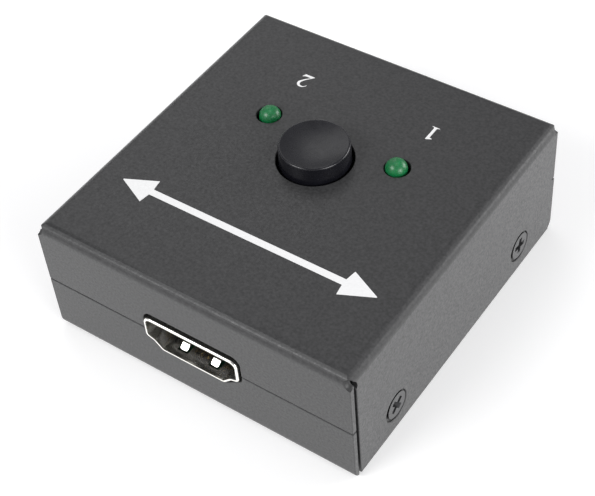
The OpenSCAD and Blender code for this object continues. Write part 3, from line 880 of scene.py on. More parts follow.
CASE_PAINT = PowderCoat(
    "case_powder_coat", "case_paint", (0.036, 0.036, 0.037), 0.42,
    drift=0.34, drift_mm=0.4, grain_mm=0.28, relief_mm=0.017, rough_drift=0.1,
)
SCREW_BLACK = Finish(
    "screw_black_zinc", "screw_black", (0.05, 0.05, 0.052), 0.38, metal=0.3, grain_mm=0.15
)
NICKEL = Finish(
    "port_nickel_plate", "port_nickel", (0.83, 0.82, 0.78), 0.22, metal=1.0,
    drift=0.04, grain_mm=0.12, relief_mm=0.001,
)
INSULATOR = Finish(
    "port_black_moulding", "port_insulator", (0.014, 0.012, 0.011), 0.5, grain_mm=0.1
)
GOLD = Finish(
    "contact_gold_plate", "contact_gold", (0.83, 0.6, 0.26), 0.25, metal=1.0,
    drift=0.05, grain_mm=0.1, relief_mm=0.0005,
)
BUTTON_BLACK = Finish(
    "button_gloss_black", "button_plastic", (0.007, 0.007, 0.01), 0.26,
    drift=0.15, grain_mm=0.9, relief_mm=0.001, rough_drift=0.05,
)
SLIDER_WHITE = Finish(
    "slider_natural_acetal", "slider_plastic", (0.78, 0.76, 0.7), 0.4, drift=0.04
)
SWITCH_BLACK = Finish("switch_black_resin", "switch_resin", (0.02, 0.02, 0.021), 0.5)
SILVER = Finish(
    "terminal_silver_plate", "terminal_brass", (0.76, 0.74, 0.68), 0.3, metal=1.0, drift=0.06
)
STEEL = Finish(
    "bright_zinc_steel", "bright_steel", (0.66, 0.66, 0.67), 0.3, metal=1.0, drift=0.06
)
BRASS = Finish(
    "standoff_turned_brass", "standoff_brass", (0.72, 0.55, 0.26), 0.28, metal=1.0, drift=0.06
)
LAMINATE = Finish(
    "board_green_mask", "board_laminate", (0.008, 0.05, 0.022), 0.35,
    drift=0.18, drift_mm=3.0, grain_mm=0.5,
)
LENS_GREEN = Epoxy(
    "light_green_epoxy", "lens_green", (0.006, 0.17, 0.05), 0.34,
    drift=0.08, drift_mm=1.2, grain_mm=3.0, relief_mm=0.0, rough_drift=0.04,
)
TIN = Finish("lead_tin_plate", "lead_tin", (0.7, 0.7, 0.71), 0.32, metal=1.0, drift=0.05)
CHIP_BLACK = Finish("chip_black_compound", "chip_resin", (0.02, 0.02, 0.02), 0.55)
GLAZE_BLACK = Finish("resistor_black_glaze", "resistor_black", (0.025, 0.025, 0.025), 0.3)
CERAMIC = Finish("capacitor_tan_ceramic", "capacitor_tan", (0.3, 0.19, 0.1), 0.4)
PRINT_WHITE = Finish(
    "white_screen_print", "case_paint", (0.93, 0.93, 0.93), 0.5,
    drift=0.03, drift_mm=0.3, grain_mm=0.12, relief_mm=0.003,
)


# Sub-assemblies


@dataclass(frozen=True)
class PortSizes:
    """Sizes of the video ports, in millimetres.

    Attributes:
        wall: Thickness of the shell's wall.
        depth: Depth of the shell.
        mouth_z: Height of the mouths' lower edges.
        front_x: Place of the front port.
        front_cut_x: Place of its opening.
        rear_x: Distance of the rear ports and their openings from the middle.
        cut_deep: Depth of the openings' cutter.
        mouth: Outline of a mouth, from its lower edge up.
        opening: Outline of an opening in the covers, from the mouth's lower edge.
    """

    wall: float = 0.3
    depth: float = 11.2
    mouth_z: float = 7.15
    front_x: float = -0.15
    front_cut_x: float = -0.05
    rear_x: float = 10.75
    cut_deep: float = 3.0
    mouth: tuple[Rung, ...] = (
        Rung(4.76, 0, 0.35),
        Rung(5.95, 1.183, 0.7),
        Rung(7.0, 1.547, 0.3),
        Rung(7.0, 4.55, 0.8),
    )
    opening: tuple[Rung, ...] = (
        Rung(5.06, -0.45, 0.35),
        Rung(7.55, 1.397, 0.35),
        Rung(7.55, 5.55, 1.3),
    )


PORT = PortSizes()


def cut_port_openings(cover: Piece, y: float) -> None:
    """Cuts the openings of the three ports into a cover.

    Args:
        cover: The cover.
        y: Half of the box's depth.
    """
    for x, end in ((PORT.front_cut_x, -1), (PORT.rear_x, 1), (-PORT.rear_x, 1)):
        opening = outline_prism("cutter", list(PORT.opening), PORT.cut_deep)
        where = Matrix.Translation((x, end * (y + OVER), PORT.mouth_z))
        place(opening, where @ faced(-end))
        cut(cover, opening)


@dataclass(frozen=True)
class Case:
    """Two folded covers.

    Attributes:
        paint: Finish of both covers.
        sheet: Thickness of the sheet.
        fold: Outer radius of the folds.
        fold_steps: Faces across a fold of the covers.
        seam: Height of the seam between the covers.
        seam_gap: Width of the seam.
        slit: Width of the slits down the front corners.
        rear_slit: Width of the slits down the rear corners.
        slit_top: Height of the slits' upper ends.
        relief: Radius of the round cut through each corner.
        relief_z: Height of the cut's middle.
        notch_radius: Radius of the notch in each side flange's upper corner.
        notch_sides: Faces round a notch's cutter.
        notch_y: Distance of the notch's middle from the side flange's end.
        notch_z: Height of the notch's middle.
        rear_short: Distance of the upper rear flange's ends from the sides.
        rear_short_low: Distance of the lower rear flange's ends from the sides.
        side_gap: Gap between the side flanges and the bottom panel.
        side_lift: Height of the side flanges' lower edges.
        edge: Width of the rounding that the paint gives to cut edges.
        edge_steps: Faces across that rounding.
        button_y: Place of the button.
        button_hole: Radius of its hole.
        light_x: Place of the holes for the lights.
        light_y: Place of the lights.
        light_hole: Radius of their holes.
        hole_sides: Faces round a hole in the lid.
        screw_y: Distance of the side screws from the middle.
        screw_z: Height of the side screws.
        sink: Radius of their countersinks.
        sink_low: Radius of the screw holes.
        sink_step: Depth of the countersinks' straight rim.
        tab: Width of the screw tabs.
        tab_height: Height of the screw tabs.
        tab_steps: Faces across a tab's fold.
        notch: Width of the notches beside them.
        tapped: Radius of their tapped holes.
        feet_x: Distance of the standoffs' feet from the middle.
        feet_y: Places of the two rows of feet.
        foot: Radius of their holes.
    """

    paint: Finish = CASE_PAINT
    sheet: float = 0.8
    fold: float = 1.5
    fold_steps: int = 10
    seam: float = 9.45
    seam_gap: float = 0.15
    slit: float = 0.5
    rear_slit: float = 0.1
    slit_top: float = 17.9
    relief: float = 0.97
    relief_z: float = 18.78
    notch_radius: float = 1.3
    notch_sides: int = 72
    notch_y: float = 1.1
    notch_z: float = 17.7
    rear_short: float = 0.15
    rear_short_low: float = 0.09
    side_gap: float = 0.1
    side_lift: float = 0.1
    edge: float = 0.13
    edge_steps: int = 3
    button_y: float = 3.1
    button_hole: float = 5.2
    light_x: float = 10.15
    light_y: float = 7.0
    light_hole: float = 1.75
    hole_sides: int = 96
    screw_y: float = 15.7
    screw_z: float = 4.4
    sink: float = 2.3
    sink_low: float = 1.45
    sink_step: float = 0.35
    tab: float = 9.0
    tab_height: float = 7.2
    tab_steps: int = 8
    notch: float = 0.8
    tapped: float = 1.28
    feet_x: float = 15.5
    feet_y: Spot = (-19.1, 8.6)
    foot: float = 1.78

    def build(self) -> None:
        """Models both covers."""
        low, high = (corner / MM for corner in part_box("top_cover"))
        x, y = (high.x - low.x) / 2, (high.y - low.y) / 2
        hand_over(self.top_cover(x, y, high.z), self.paint, Body.CASE, ("top_cover",))
        hand_over(self.bottom_cover(x, y), self.paint, Body.CASE, ("bottom_cover",))

    def top_cover(self, x: float, y: float, height: float) -> Piece:
        """Models the lid with its flanges, slits and holes.

        The thin rear slits and the round cuts come after the rounding, which they would upset.

        Args:
            x: Half of the box's width.
            y: Half of the box's depth.
            height: Height of the box.

        Returns:
            The cover.
        """
        cover = block("top_shell", (-x, -y, 0), (x, y, height))
        with editing(cover):
            round_edges(self.fold, self.fold_steps, lambda middle: middle.z > height - OVER)
            open_towards((0, 0, -1))
        give_wall(cover, self.sheet)
        outer_x, outer_y = x + OVER, y + OVER
        inner_x, inner_y = x - self.sheet, y - self.sheet
        seam_top = self.seam + self.seam_gap / 2
        for end, slit in ((-1, self.slit), (1, 0)):
            inner = (-outer_x, end * (inner_y - slit), -OVER)
            cut_block(cover, inner, (outer_x, end * outer_y, seam_top))
        for side in (-1, 1):
            self.cut_slit(cover, (side * inner_x, side * outer_x), (-inner_y, self.slit - inner_y))
        cut_block(cover, (-outer_x, -y, -OVER), (outer_x, y, self.side_lift))
        self.cut_screw_holes(cover, x)
        cut_port_openings(cover, y)
        for radius, hole_x, hole_y in (
            (self.button_hole, 0, self.button_y),
            (self.light_hole, -self.light_x, self.light_y),
            (self.light_hole, self.light_x, self.light_y),
        ):
            where = Matrix.Translation((hole_x, hole_y, 0))
            drill(cover, radius, height - 2 * self.sheet, height + OVER, where, self.hole_sides)
        soften(cover, self.edge, self.edge_steps)
        for side in (-1, 1):
            across = (side * (inner_x - HAIR), side * outer_x)
            self.cut_slit(cover, across, (inner_y - self.rear_slit, inner_y + HAIR))
            across = (side * (x - self.rear_short), side * outer_x)
            self.cut_slit(cover, across, (inner_y - self.rear_slit / 2, outer_y))
            for end, slit in ((-1, self.slit), (1, self.rear_slit)):
                self.relieve(cover, (side * x, end * y), end * (inner_y - slit + self.notch_y))
        smooth(cover)
        return cover

    def cut_slit(self, cover: Piece, across: Spot, along: Spot) -> None:
        """Cuts a cover between two sides and two ends, from below up to the slits' tops."""
        cut_block(cover, (across[0], along[0], -OVER), (across[1], along[1], self.slit_top))

    def relieve(self, cover: Piece, corner: Spot, notch_y: float) -> None:
        """Cuts the round hole of a corner and the notch of its side flange.

        Args:
            cover: The top cover.
            corner: Place of the corner.
            notch_y: Place of the notch's middle.
        """
        x, y = corner
        side, end = math.copysign(1, x), math.copysign(1, y)
        radius = self.notch_radius
        notch = drum("cutter", radius, radius, -self.sheet - HAIR, OVER, self.notch_sides)
        place(notch, Matrix.Translation((x, notch_y, self.notch_z)) @ sideways(side))
        inner = (-2 * x, y - end * (self.sheet - HAIR), 0)
        cut_block(notch, inner, (2 * x, 2 * y, 2 * self.relief_z))
        cut(cover, notch)
        spot = (x + side * HAIR, y + end * HAIR, self.relief_z)
        cut(cover, ball("cutter", self.relief, spot))

    def bottom_cover(self, x: float, y: float) -> Piece:
        """Models the bottom panel with its port flanges and screw tabs.

        The side cuts stop at the flat of the panel before the rounding and go on up the folds
        after it, because a cut along a fold's edge would upset the rounding.

        Args:
            x: Half of the box's width.
            y: Half of the box's depth.

        Returns:
            The cover.
        """
        top = self.seam - self.seam_gap / 2
        outer_x, edge_x = x + OVER, x - self.sheet - self.side_gap
        inner_y = y - self.sheet
        cover = block("bottom_shell", (-x, -y, 0), (x, y, top))
        with editing(cover):
            round_edges(
                self.fold, self.fold_steps,
                lambda middle: middle.z < OVER and abs(middle.y) > y - OVER,
            )
            open_towards((0, 0, 1), (1, 0, 0), (-1, 0, 0))
        give_wall(cover, self.sheet)
        fold_x = edge_x - self.fold - self.edge - HAIR
        flat_y = y - self.fold - 2 * self.edge
        reach = self.tab / 2 + self.notch
        for side in (-1, 1):
            inner = (side * edge_x, -flat_y, -OVER)
            cut_block(cover, inner, (side * outer_x, flat_y, top + OVER))
            for end in (-1, 1):
                inner = (side * fold_x, end * self.screw_y - reach, -OVER)
                outer = (side * x, end * self.screw_y + reach, self.sheet + OVER)
                cut_block(cover, inner, outer)
        for foot_y in self.feet_y:
            for side in (1, -1):
                where = Matrix.Translation((side * self.feet_x, foot_y, 0))
                drill(cover, self.foot, -OVER, self.sheet + OVER, where)
        cut_port_openings(cover, y)
        tab = self.screw_tab(edge_x)
        for side, end in CORNERS:
            where = Matrix.Translation((0, end * self.screw_y, 0)) @ faced(side)
            fuse(cover, copy_of(tab, "tab", where))
        bpy.data.objects.remove(tab)
        soften(cover, self.edge, self.edge_steps)
        for side in (-1, 1):
            across = (side * (edge_x - HAIR), side * outer_x)
            for end in (-1, 1):
                self.cut_slit(cover, across, (end * (flat_y - HAIR), end * inner_y))
            across = (side * (x - self.rear_short_low), side * outer_x)
            self.cut_slit(cover, across, (inner_y - HAIR, y + OVER))
        smooth(cover)
        return cover

    def screw_tab(self, edge_x: float) -> Piece:
        """Models a tab at +X, folded up from the bottom panel's edge.

        Args:
            edge_x: Half of the bottom panel's width between the side flanges.

        Returns:
            The tab.
        """
        inner = edge_x - self.fold - 4 * self.edge
        tab = block("tab", (inner, -self.tab / 2, 0), (edge_x, self.tab / 2, self.tab_height))
        with editing(tab):
            round_edges(
                self.fold, self.tab_steps,
                lambda middle: middle.z < NEAR and middle.x > edge_x - NEAR,
            )
            open_towards((0, 0, 1), (-1, 0, 0), (0, 1, 0), (0, -1, 0))
        give_wall(tab, self.sheet)
        where = Matrix.Translation((edge_x - self.sheet - OVER, 0, self.screw_z))
        drill(tab, self.tapped, -OVER, 2 * self.sheet, where @ sideways(1))
        return tab

    def cut_screw_holes(self, cover: Piece, x: float) -> None:
        """Countersinks the four side screw holes.

        Args:
            cover: The top cover.
            x: Half of the box's width.
        """
        wide, narrow = self.sink, self.sink_low
        for side, end in CORNERS:
            cone = drum("cutter", narrow, wide, narrow - wide, 0)
            fuse(cone, drum("cutter", wide, wide, -self.sink_step, OVER))
            fuse(cone, drum("cutter", narrow, narrow, -2 * self.sheet, narrow - wide))
            where = Matrix.Translation((side * x, end * self.screw_y, self.screw_z))
            place(cone, where @ sideways(side))
            cut(cover, cone)


@dataclass(frozen=True)
class SideScrews:
    """Four countersunk screws with cross recesses.

    Attributes:
        finish: Finish of the screws.
        head: Radius of the head.
        shank: Radius of the thread.
        length: Length with the head.
        sunk: Depth of the head below the face.
        span: Span of the recess.
        arm: Width of its arms.
        deep: Its depth.
        taper: Share of its span, width and depth that is left at its bottom.
        edge: Width of the rounding of edges.
        x: Distance of the faces from the middle.
        y: Distance of the screws from the middle.
        z: Height of the screws.
        shift: How far each screw sits off its hole, along y and z.
        places: Name of each screw's place, in the order of CORNERS.
        turns: Turn of each screw's recess in degrees, in the same order.
    """

    finish: Finish = SCREW_BLACK
    head: float = 1.98
    shank: float = 1.25
    length: float = 4.0
    sunk: float = 0.05
    span: float = 3.0
    arm: float = 0.8
    deep: float = 1.3
    taper: Point = (0.4, 0.6, 1)
    edge: float = 0.05
    x: float = 23.9
    y: float = 15.7
    z: float = 4.4
    shift: Spot = (0.2, -0.06)
    places: tuple[str, ...] = ("left_front", "left_rear", "right_front", "right_rear")
    turns: tuple[float, ...] = (12, 63, 38, 80)

    def build(self) -> None:
        """Models one screw and copies it to its four places."""
        screw = self.model()
        sunk = Matrix.Translation((0, 0, -self.sunk))
        for (side, end), name, turn in zip(CORNERS, self.places, self.turns):
            spot = (side * self.x, end * self.y + self.shift[0], self.z + self.shift[1])
            spin = Matrix.Rotation(math.radians(turn), 4, "Z")
            where = Matrix.Translation(spot) @ sideways(side) @ sunk @ spin
            placed = copy_of(screw, f"side_screw_{name}", where)
            hand_over(placed, self.finish, Body.CASE, ("cover_screws",))
        bpy.data.objects.remove(screw)

    def model(self) -> Piece:
        """Models a screw whose head lies at z = 0.

        Returns:
            The screw.
        """
        cone = self.head - self.shank
        screw = drum("screw", self.shank, self.head, -cone, 0)
        with editing(screw):
            pick_facing((0, 0, -1))
            extrude((0, 0, cone - self.length))
        half, side = self.span / 2, self.arm / 2
        for turn in (0, 90):
            arm = block("cutter", (-half, -side, -self.deep), (half, side, OVER))
            with editing(arm):
                pick(Kind.POINT, lambda middle, _: middle.z < 0)
                bpy.ops.transform.resize(value=self.taper, center_override=(0, 0, 0))
            place(arm, Matrix.Rotation(math.radians(turn), 4, "Z"))
            cut(screw, arm)
        soften(screw, self.edge)
        return screw


@dataclass(frozen=True)
class VideoPorts:
    """Three video ports with plated shells.

    Attributes:
        shell: Finish of the shells.
        moulding: Finish of the insulators with their tongues.
        plating: Finish of the contacts.
        sizes: The ports' sizes.
        face: Distance of the mouths from the box's middle.
        lip: Thickness of the plated shell.
        rim: Radius of the mouth's outer edge.
        rim_steps: Faces across that edge.
        finger: Width of the spring fingers.
        finger_x: Their distance from the port's middle.
        slot: Width of the slot round a finger.
        tip: Distance of the fingers' tips behind the mouth.
        tip_round: Rounding of the tips.
        tip_steps: Faces across that rounding.
        root: Distance of the fingers' roots.
        finger_path: Distance behind the mouth and rise of points along a finger.
        leg: Width of the soldered legs.
        leg_places: Distances of the legs behind the mouth.
        leg_top: Height of the legs' upper ends.
        leg_low: Height of their lower ends.
        edge: Width of the rounding of the shell's edges.
        moulding_edge: Width of the rounding of the insulator's edges.
        contact_edge: Width of the rounding of the contacts' edges.
    """

    shell: Finish = NICKEL
    moulding: Finish = INSULATOR
    plating: Finish = GOLD
    sizes: PortSizes = PORT
    face: float = 25.5
    lip: float = 0.38
    rim: float = 0.22
    rim_steps: int = 5
    finger: float = 1.2
    finger_x: float = 2.45
    slot: float = 0.2
    tip: float = 1.25
    tip_round: float = 0.3
    tip_steps: int = 5
    root: float = 6.6
    finger_path: tuple[Spot, ...] = (
        (7.0, 0.0), (root, 0.0), (5.6, 0.14), (2.9, 0.54), (2.45, 0.59),
        (2.2, 0.6), (1.98, 0.54), (1.78, 0.4), (tip, 0.0),
    )
    leg: float = 1.4
    leg_places: Spot = (3.024, 8.96)
    leg_top: float = 2.147
    leg_low: float = -2.8
    edge: float = 0.07
    moulding_edge: float = 0.06
    contact_edge: float = 0.03

    def build(self) -> None:
        """Models one shell, copies it to the three ports and fills them."""
        shell = self.model_shell()
        rear_x, mouth_z = self.sizes.rear_x, self.sizes.mouth_z
        spots = (
            ("front_port", self.sizes.front_x, -1), ("rear_port_1", rear_x, 1),
            ("rear_port_2", -rear_x, 1),
        )
        for port, x, end in spots:
            where = Matrix.Translation((x, end * self.face, mouth_z)) @ faced(-end)
            can = copy_of(shell, f"{port}_can", where)
            hand_over(can, self.shell, Body.CASE, (f"{port}_shell",))
            tongue = refined(f"{port}_tongue", f"{port}_moulding", self.moulding_edge)
            hand_over(tongue, self.moulding, Body.CASE, (f"{port}_tongue",))
            blades = refined(f"{port}_contacts", f"{port}_blades", self.contact_edge)
            hand_over(blades, self.plating, Body.CASE, (f"{port}_contacts",))
        bpy.data.objects.remove(shell)

    def model_shell(self) -> Piece:
        """Models a shell with its fingers and legs, its mouth at the origin.

        Returns:
            The shell.
        """
        sizes, inner = self.sizes, list(self.sizes.mouth)
        top, side_x = inner[-1].height, inner[-1].half
        shell = outline_prism("shell", grown(inner, self.lip), sizes.depth)
        with editing(shell):
            round_edges(self.rim, self.rim_steps, lambda middle: middle.y < NEAR)
        hollow = outline_prism("cutter", inner, sizes.depth + 2 * OVER)
        place(hollow, Matrix.Translation((0, -OVER, 0)))
        cut(shell, hollow)
        window = self.finger / 2 + self.slot
        for side in (-1, 1):
            middle = side * self.finger_x
            for level in (-sizes.wall, top):
                low = (middle - window, self.tip - self.slot, level - OVER)
                cut_block(shell, low, (middle + window, self.root, level + sizes.wall + OVER))
        finger = self.model_finger()
        flip = Matrix.Translation((0, 0, top)) @ Matrix.Rotation(math.pi, 4, "Y")
        for side in (-1, 1):
            move = Matrix.Translation((side * self.finger_x, 0, 0))
            fuse(shell, copy_of(finger, "finger_low", move))
            fuse(shell, copy_of(finger, "finger_high", move @ flip))
        bpy.data.objects.remove(finger)
        half = self.leg / 2
        for side in (-1, 1):
            for middle in self.leg_places:
                inside = (side * side_x, middle - half, self.leg_low)
                outside = (side * (side_x + sizes.wall), middle + half, self.leg_top)
                fuse(shell, block("leg", inside, outside))
        soften(shell, self.edge)
        return shell

    def model_finger(self) -> Piece:
        """Models a spring finger of the lower wall, its root in the wall.

        Returns:
            The finger.
        """
        half = self.finger / 2
        finger = ribbon("finger", [((-half, y, z), (half, y, z)) for y, z in self.finger_path])
        with editing(finger):
            pick(Kind.POINT, lambda middle, _: middle.y < self.tip + NEAR)
            bpy.ops.mesh.bevel(offset=self.tip_round, segments=self.tip_steps, affect="VERTICES")
            face_outwards()
            mesh = bmesh.from_edit_mesh(finger.data)
            if mesh.faces[:][0].normal.z < 0:
                bpy.ops.mesh.flip_normals()
        give_wall(finger, self.sizes.wall)
        return finger


@dataclass(frozen=True)
class PushButton:
    """Round cap with a hollow top.

    Attributes:
        finish: Finish of the cap.
        y: Place behind the middle of the box.
        low: Height of its lower edge.
        top: Height of its rim.
        low_radius: Radius at its lower edge.
        radius: Radius at its rim.
        sides: Faces round the cap.
        edge: Radius of the rim.
        edge_steps: Faces across the rim.
        dish: Depth of the hollow top.
        rings: Rings of faces across the hollow.
        bore: Radius of the room under the cap.
        bore_top: Height of that room.
        boss: Radius of the boss in it.
        socket: Width and depth of the boss's socket.
        socket_top: Height of the socket.
        crease: Least angle in degrees between faces that stays a crease.
    """

    finish: Finish = BUTTON_BLACK
    y: float = 3.1
    low: float = 16.45
    top: float = 22.25
    low_radius: float = 4.9
    radius: float = 4.75
    sides: int = 128
    edge: float = 0.3
    edge_steps: int = 6
    dish: float = 0.5
    rings: int = 14
    bore: float = 3.75
    bore_top: float = 20.22
    boss: float = 2.56
    socket: Spot = (3.26, 2.66)
    socket_top: float = 20.25
    crease: float = 50

    def build(self) -> None:
        """Models the cap."""
        cap = drum("push_cap", self.low_radius, self.radius, self.low, self.top, self.sides)
        with editing(cap):
            round_edges(self.edge, self.edge_steps, lambda middle: middle.z > self.top - NEAR)
            pick_facing((0, 0, 1))
            self.sink_top()
        room = drum("cutter", self.bore, self.bore, self.low - OVER, self.bore_top)
        cut(room, drum("boss", self.boss, self.boss, self.low - 2 * OVER, self.bore_top + OVER))
        cut(cap, room)
        half_x, half_y = (side / 2 for side in self.socket)
        cut_block(cap, (-half_x, -half_y, self.low - OVER), (half_x, half_y, self.socket_top))
        merge(cap)
        smooth(cap, self.crease)
        place(cap, Matrix.Translation((0, self.y, 0)))
        hand_over(cap, self.finish, Body.BUTTON, ("button_cap",))

    def sink_top(self) -> None:
        """Sinks the selected top face along a ball, ring by ring."""
        rim = self.radius - self.edge
        curve = (rim**2 + self.dish**2) / (2 * self.dish)
        # The face left in the middle is half a ring wide
        step = rim / (self.rings + 0.5)
        level = 0.0
        for ring in range(1, self.rings + 1):
            radius = rim - ring * step
            drop = self.dish - curve + math.sqrt(curve**2 - radius**2)
            bpy.ops.mesh.inset(thickness=step, use_even_offset=True)
            bpy.ops.transform.translate(value=(0, 0, level - drop))
            level = drop


@dataclass(frozen=True)
class IndicatorLights:
    """Two round indicator lights of diffused epoxy.

    Attributes:
        finish: Finish of the lenses.
        x: Distance from the middle.
        y: Place behind the middle.
        ball_z: Height of the dome's centre.
        radius: Radius of the dome.
        collar: Radius of the collar.
        collar_top: Height of the collar's upper edge.
        collar_low: Height of its lower edge.
        flat: Distance of the collar's flat from the axis.
    """

    finish: Finish = LENS_GREEN
    x: float = 10.0
    y: float = 7.0
    ball_z: float = 19.45
    radius: float = 1.5
    collar: float = 1.95
    collar_top: float = 16.65
    collar_low: float = 15.65
    flat: float = 1.53

    def build(self) -> None:
        """Models one lens and copies it to both places."""
        lens = self.model()
        for number, side in ((1, 1), (2, -1)):
            where = Matrix.Translation((side * self.x, self.y, 0))
            placed = copy_of(lens, f"light_{number}_dome", where)
            hand_over(placed, self.finish, Body.CASE, (f"led_{number}_lens",))
        bpy.data.objects.remove(lens)

    def model(self) -> Piece:
        """Models a lens on the Z axis.

        Returns:
            The lens.
        """
        low, top = self.collar_low, self.collar_top
        lens = ball("lens", self.radius, (0, 0, self.ball_z))
        with editing(lens):
            pick(Kind.POINT, lambda middle, _: middle.z < self.ball_z - NEAR)
            bpy.ops.mesh.delete(type="VERT")
            pick(Kind.EDGE, lambda _, edge: edge.is_boundary)
            extrude((0, 0, top - self.ball_z))
            extrude((0, 0, 0))
            wide = self.collar / self.radius
            bpy.ops.transform.resize(value=(wide, wide, 1), center_override=(0, 0, top))
            extrude((0, 0, low - top))
            bpy.ops.mesh.edge_face_add()
            face_outwards()
        reach = self.collar + OVER
        cut_block(lens, (self.flat, -reach, low - OVER), (reach, reach, top + OVER))
        merge(lens)
        smooth(lens)
        return lens


@dataclass(frozen=True)
class LidPrinting:
    """White screen printing on the lid: the numbers of the two lights and a two-way arrow.

    Attributes:
        finish: The ink.
        lid: Height of the lid.
        ink: Thickness of the ink.
        one: Middle of the number 1.
        two: Middle of the number 2.
        arrow: Middle of the arrow.
        one_rungs: Left and right end of each rung of the number 1.
        two_bowl: Angle, outer and inner radius of points along the bowl of the number 2.
        bowl_rise: Height of the bowl's centre.
        two_foot: Rungs of the number 2 below its bowl.
        arrow_half: Half of the arrow's length.
        head_long: Length of its heads.
        head_half: Half of the heads' width.
        barb: Length over which the shaft widens to a head.
        shaft_half: Half of the shaft's width.
        point_half: Half of the width of the arrow's points.
    """

    finish: Finish = PRINT_WHITE
    lid: float = 19.7
    ink: float = 0.015
    one: Spot = (10.56, 14.77)
    two: Spot = (-9.83, 15.0)
    arrow: Spot = (0.22, -12.92)
    one_rungs: Rungs = (
        ((-0.56, -1.3), (0.56, -1.3)),
        ((-0.56, -1.23), (0.56, -1.23)),
        ((-0.28, -1.16), (0.28, -1.16)),
        ((-0.2, -1.02), (0.2, -1.02)),
        ((-0.2, 0.82), (0.2, 0.82)),
        ((-0.6, 0.9), (0.2, 0.98)),
        ((-0.6, 0.98), (0.2, 1.1)),
        ((0.08, 1.3), (0.2, 1.3)),
    )
    two_bowl: tuple[Point, ...] = (
        (172, 0.79, 0.72), (155, 0.77, 0.67), (138, 0.75, 0.62), (120, 0.74, 0.56),
        (102, 0.73, 0.5), (84, 0.73, 0.45), (66, 0.74, 0.42), (48, 0.76, 0.4),
        (30, 0.77, 0.38), (12, 0.78, 0.37), (-6, 0.77, 0.38), (-24, 0.74, 0.42),
    )
    bowl_rise: float = 0.55
    two_foot: Rungs = (
        ((0.22, 0.02), (0.5, 0.02)),
        ((-0.1, -0.42), (0.14, -0.42)),
        ((-0.82, -1.18), (-0.5, -0.98)),
        ((-0.82, -1.3), (-0.42, -0.93)),
        ((0.1, -1.3), (0.1, -0.93)),
        ((0.62, -1.3), (0.5, -0.91)),
        ((0.78, -0.98), (0.7, -0.8)),
        ((0.86, -0.76), (0.8, -0.72)),
    )
    arrow_half: float = 19.5
    head_long: float = 4.4
    head_half: float = 2.1
    barb: float = 0.25
    shaft_half: float = 0.5
    point_half: float = 0.06

    def build(self) -> None:
        """Prints the numbers and the arrow."""
        self.print_shape("number_1", self.one_rungs, self.one)
        self.print_shape("number_2", self.shape_two(), self.two)
        self.print_shape("two_way_arrow", self.shape_arrow(), self.arrow)

    def print_shape(self, name: str, rungs: Rungs, middle: Spot) -> None:
        """Prints a shape that is read from the rear of the box.

        Args:
            name: Name of the piece.
            rungs: Left and right end of each of its rungs, as it is read.
            middle: Its place on the lid.
        """
        shape = ribbon(name, [((*left, 0), (*right, 0)) for left, right in rungs])
        thicken(shape, (0, 0, self.ink))
        place(shape, Matrix.Translation((*middle, self.lid)) @ faced(-1))
        hand_over(shape, self.finish, Body.CASE)

    def shape_two(self) -> Rungs:
        """Gives the rungs of the number 2.

        Returns:
            Left and right end of each rung.
        """
        bowl = []
        for degrees, outer, inner in self.two_bowl:
            angle = math.radians(degrees)
            ends = (
                (radius * math.cos(angle), self.bowl_rise + radius * math.sin(angle))
                for radius in (inner, outer)
            )
            bowl.append(tuple(ends))
        return (*bowl, *self.two_foot)

    def shape_arrow(self) -> Rungs:
        """Gives the rungs of the two-way arrow.

        Returns:
            Left and right end of each rung.
        """
        neck = self.arrow_half - self.head_long
        half = [
            (neck - self.barb, self.shaft_half),
            (neck, self.head_half),
            (self.arrow_half, self.point_half),
        ]
        outline = [(-x, wide) for x, wide in reversed(half)] + half
        return tuple(((x, wide), (x, -wide)) for x, wide in outline)


@dataclass(frozen=True)
class InnerParts:
    """Board, switch and small parts inside the case.

    Attributes:
        lane: Corners of the room added at the upper end of the slider's latch lane.
        slider_edge: Width of the rounding of the slider's edges.
        rounded: Node, new name, finish and rounding of what gets rounded edges.
        dressed: Finish of the nodes that only get a finish.
    """

    lane: tuple[Point, Point] = ((-1.22, 4.76, 12.72), (-0.8, 6.5, 12.98))
    slider_edge: float = 0.03
    rounded: tuple[tuple[str, str, Finish, float], ...] = (
        ("board_standoffs", "hex_standoffs", BRASS, 0.1),
        ("board_screws", "pan_screws", STEEL, 0.1),
        ("switching_chip", "chip_package", CHIP_BLACK, 0.06),
        ("capacitors", "chip_capacitors", CERAMIC, 0.06),
        ("resistors", "chip_resistors", GLAZE_BLACK, 0.04),
        ("switch_housing", "switch_case", SWITCH_BLACK, 0.12),
    )
    dressed: tuple[tuple[str, Finish], ...] = (
        ("circuit_board", LAMINATE),
        ("switch_bridges", GOLD),
        ("switch_spring", STEEL),
        ("switch_base", SWITCH_BLACK),
        ("switch_terminals", SILVER),
        ("latch_pin", STEEL),
        ("led_1_leads", TIN),
        ("led_2_leads", TIN),
        ("chip_leads", TIN),
    )

    def build(self) -> None:
        """Rounds or dresses the parts."""
        for node, name, finish, width in self.rounded:
            hand_over(refined(node, name, width), finish, Body.CASE, (node,))
        slider = refined("switch_plunger", "switch_slider", self.slider_edge, self.lane)
        hand_over(slider, SLIDER_WHITE, Body.BUTTON, ("switch_plunger",))
        for node, finish in self.dressed:
            dress(bpy.data.objects[node], finish.material())
            log.info("%s in %s", node, finish.name)


@dataclass(frozen=True)
class Lamp:
    """Soft box that looks at the object.

    Attributes:
        name: Name of the lamp.
        way: Direction from the object to the lamp, as long as its distance in metres.
        width: Width in metres.
        height: Height in metres.
        power: Power in watts.
    """

    name: str
    way: Point
    width: float
    height: float
    power: float


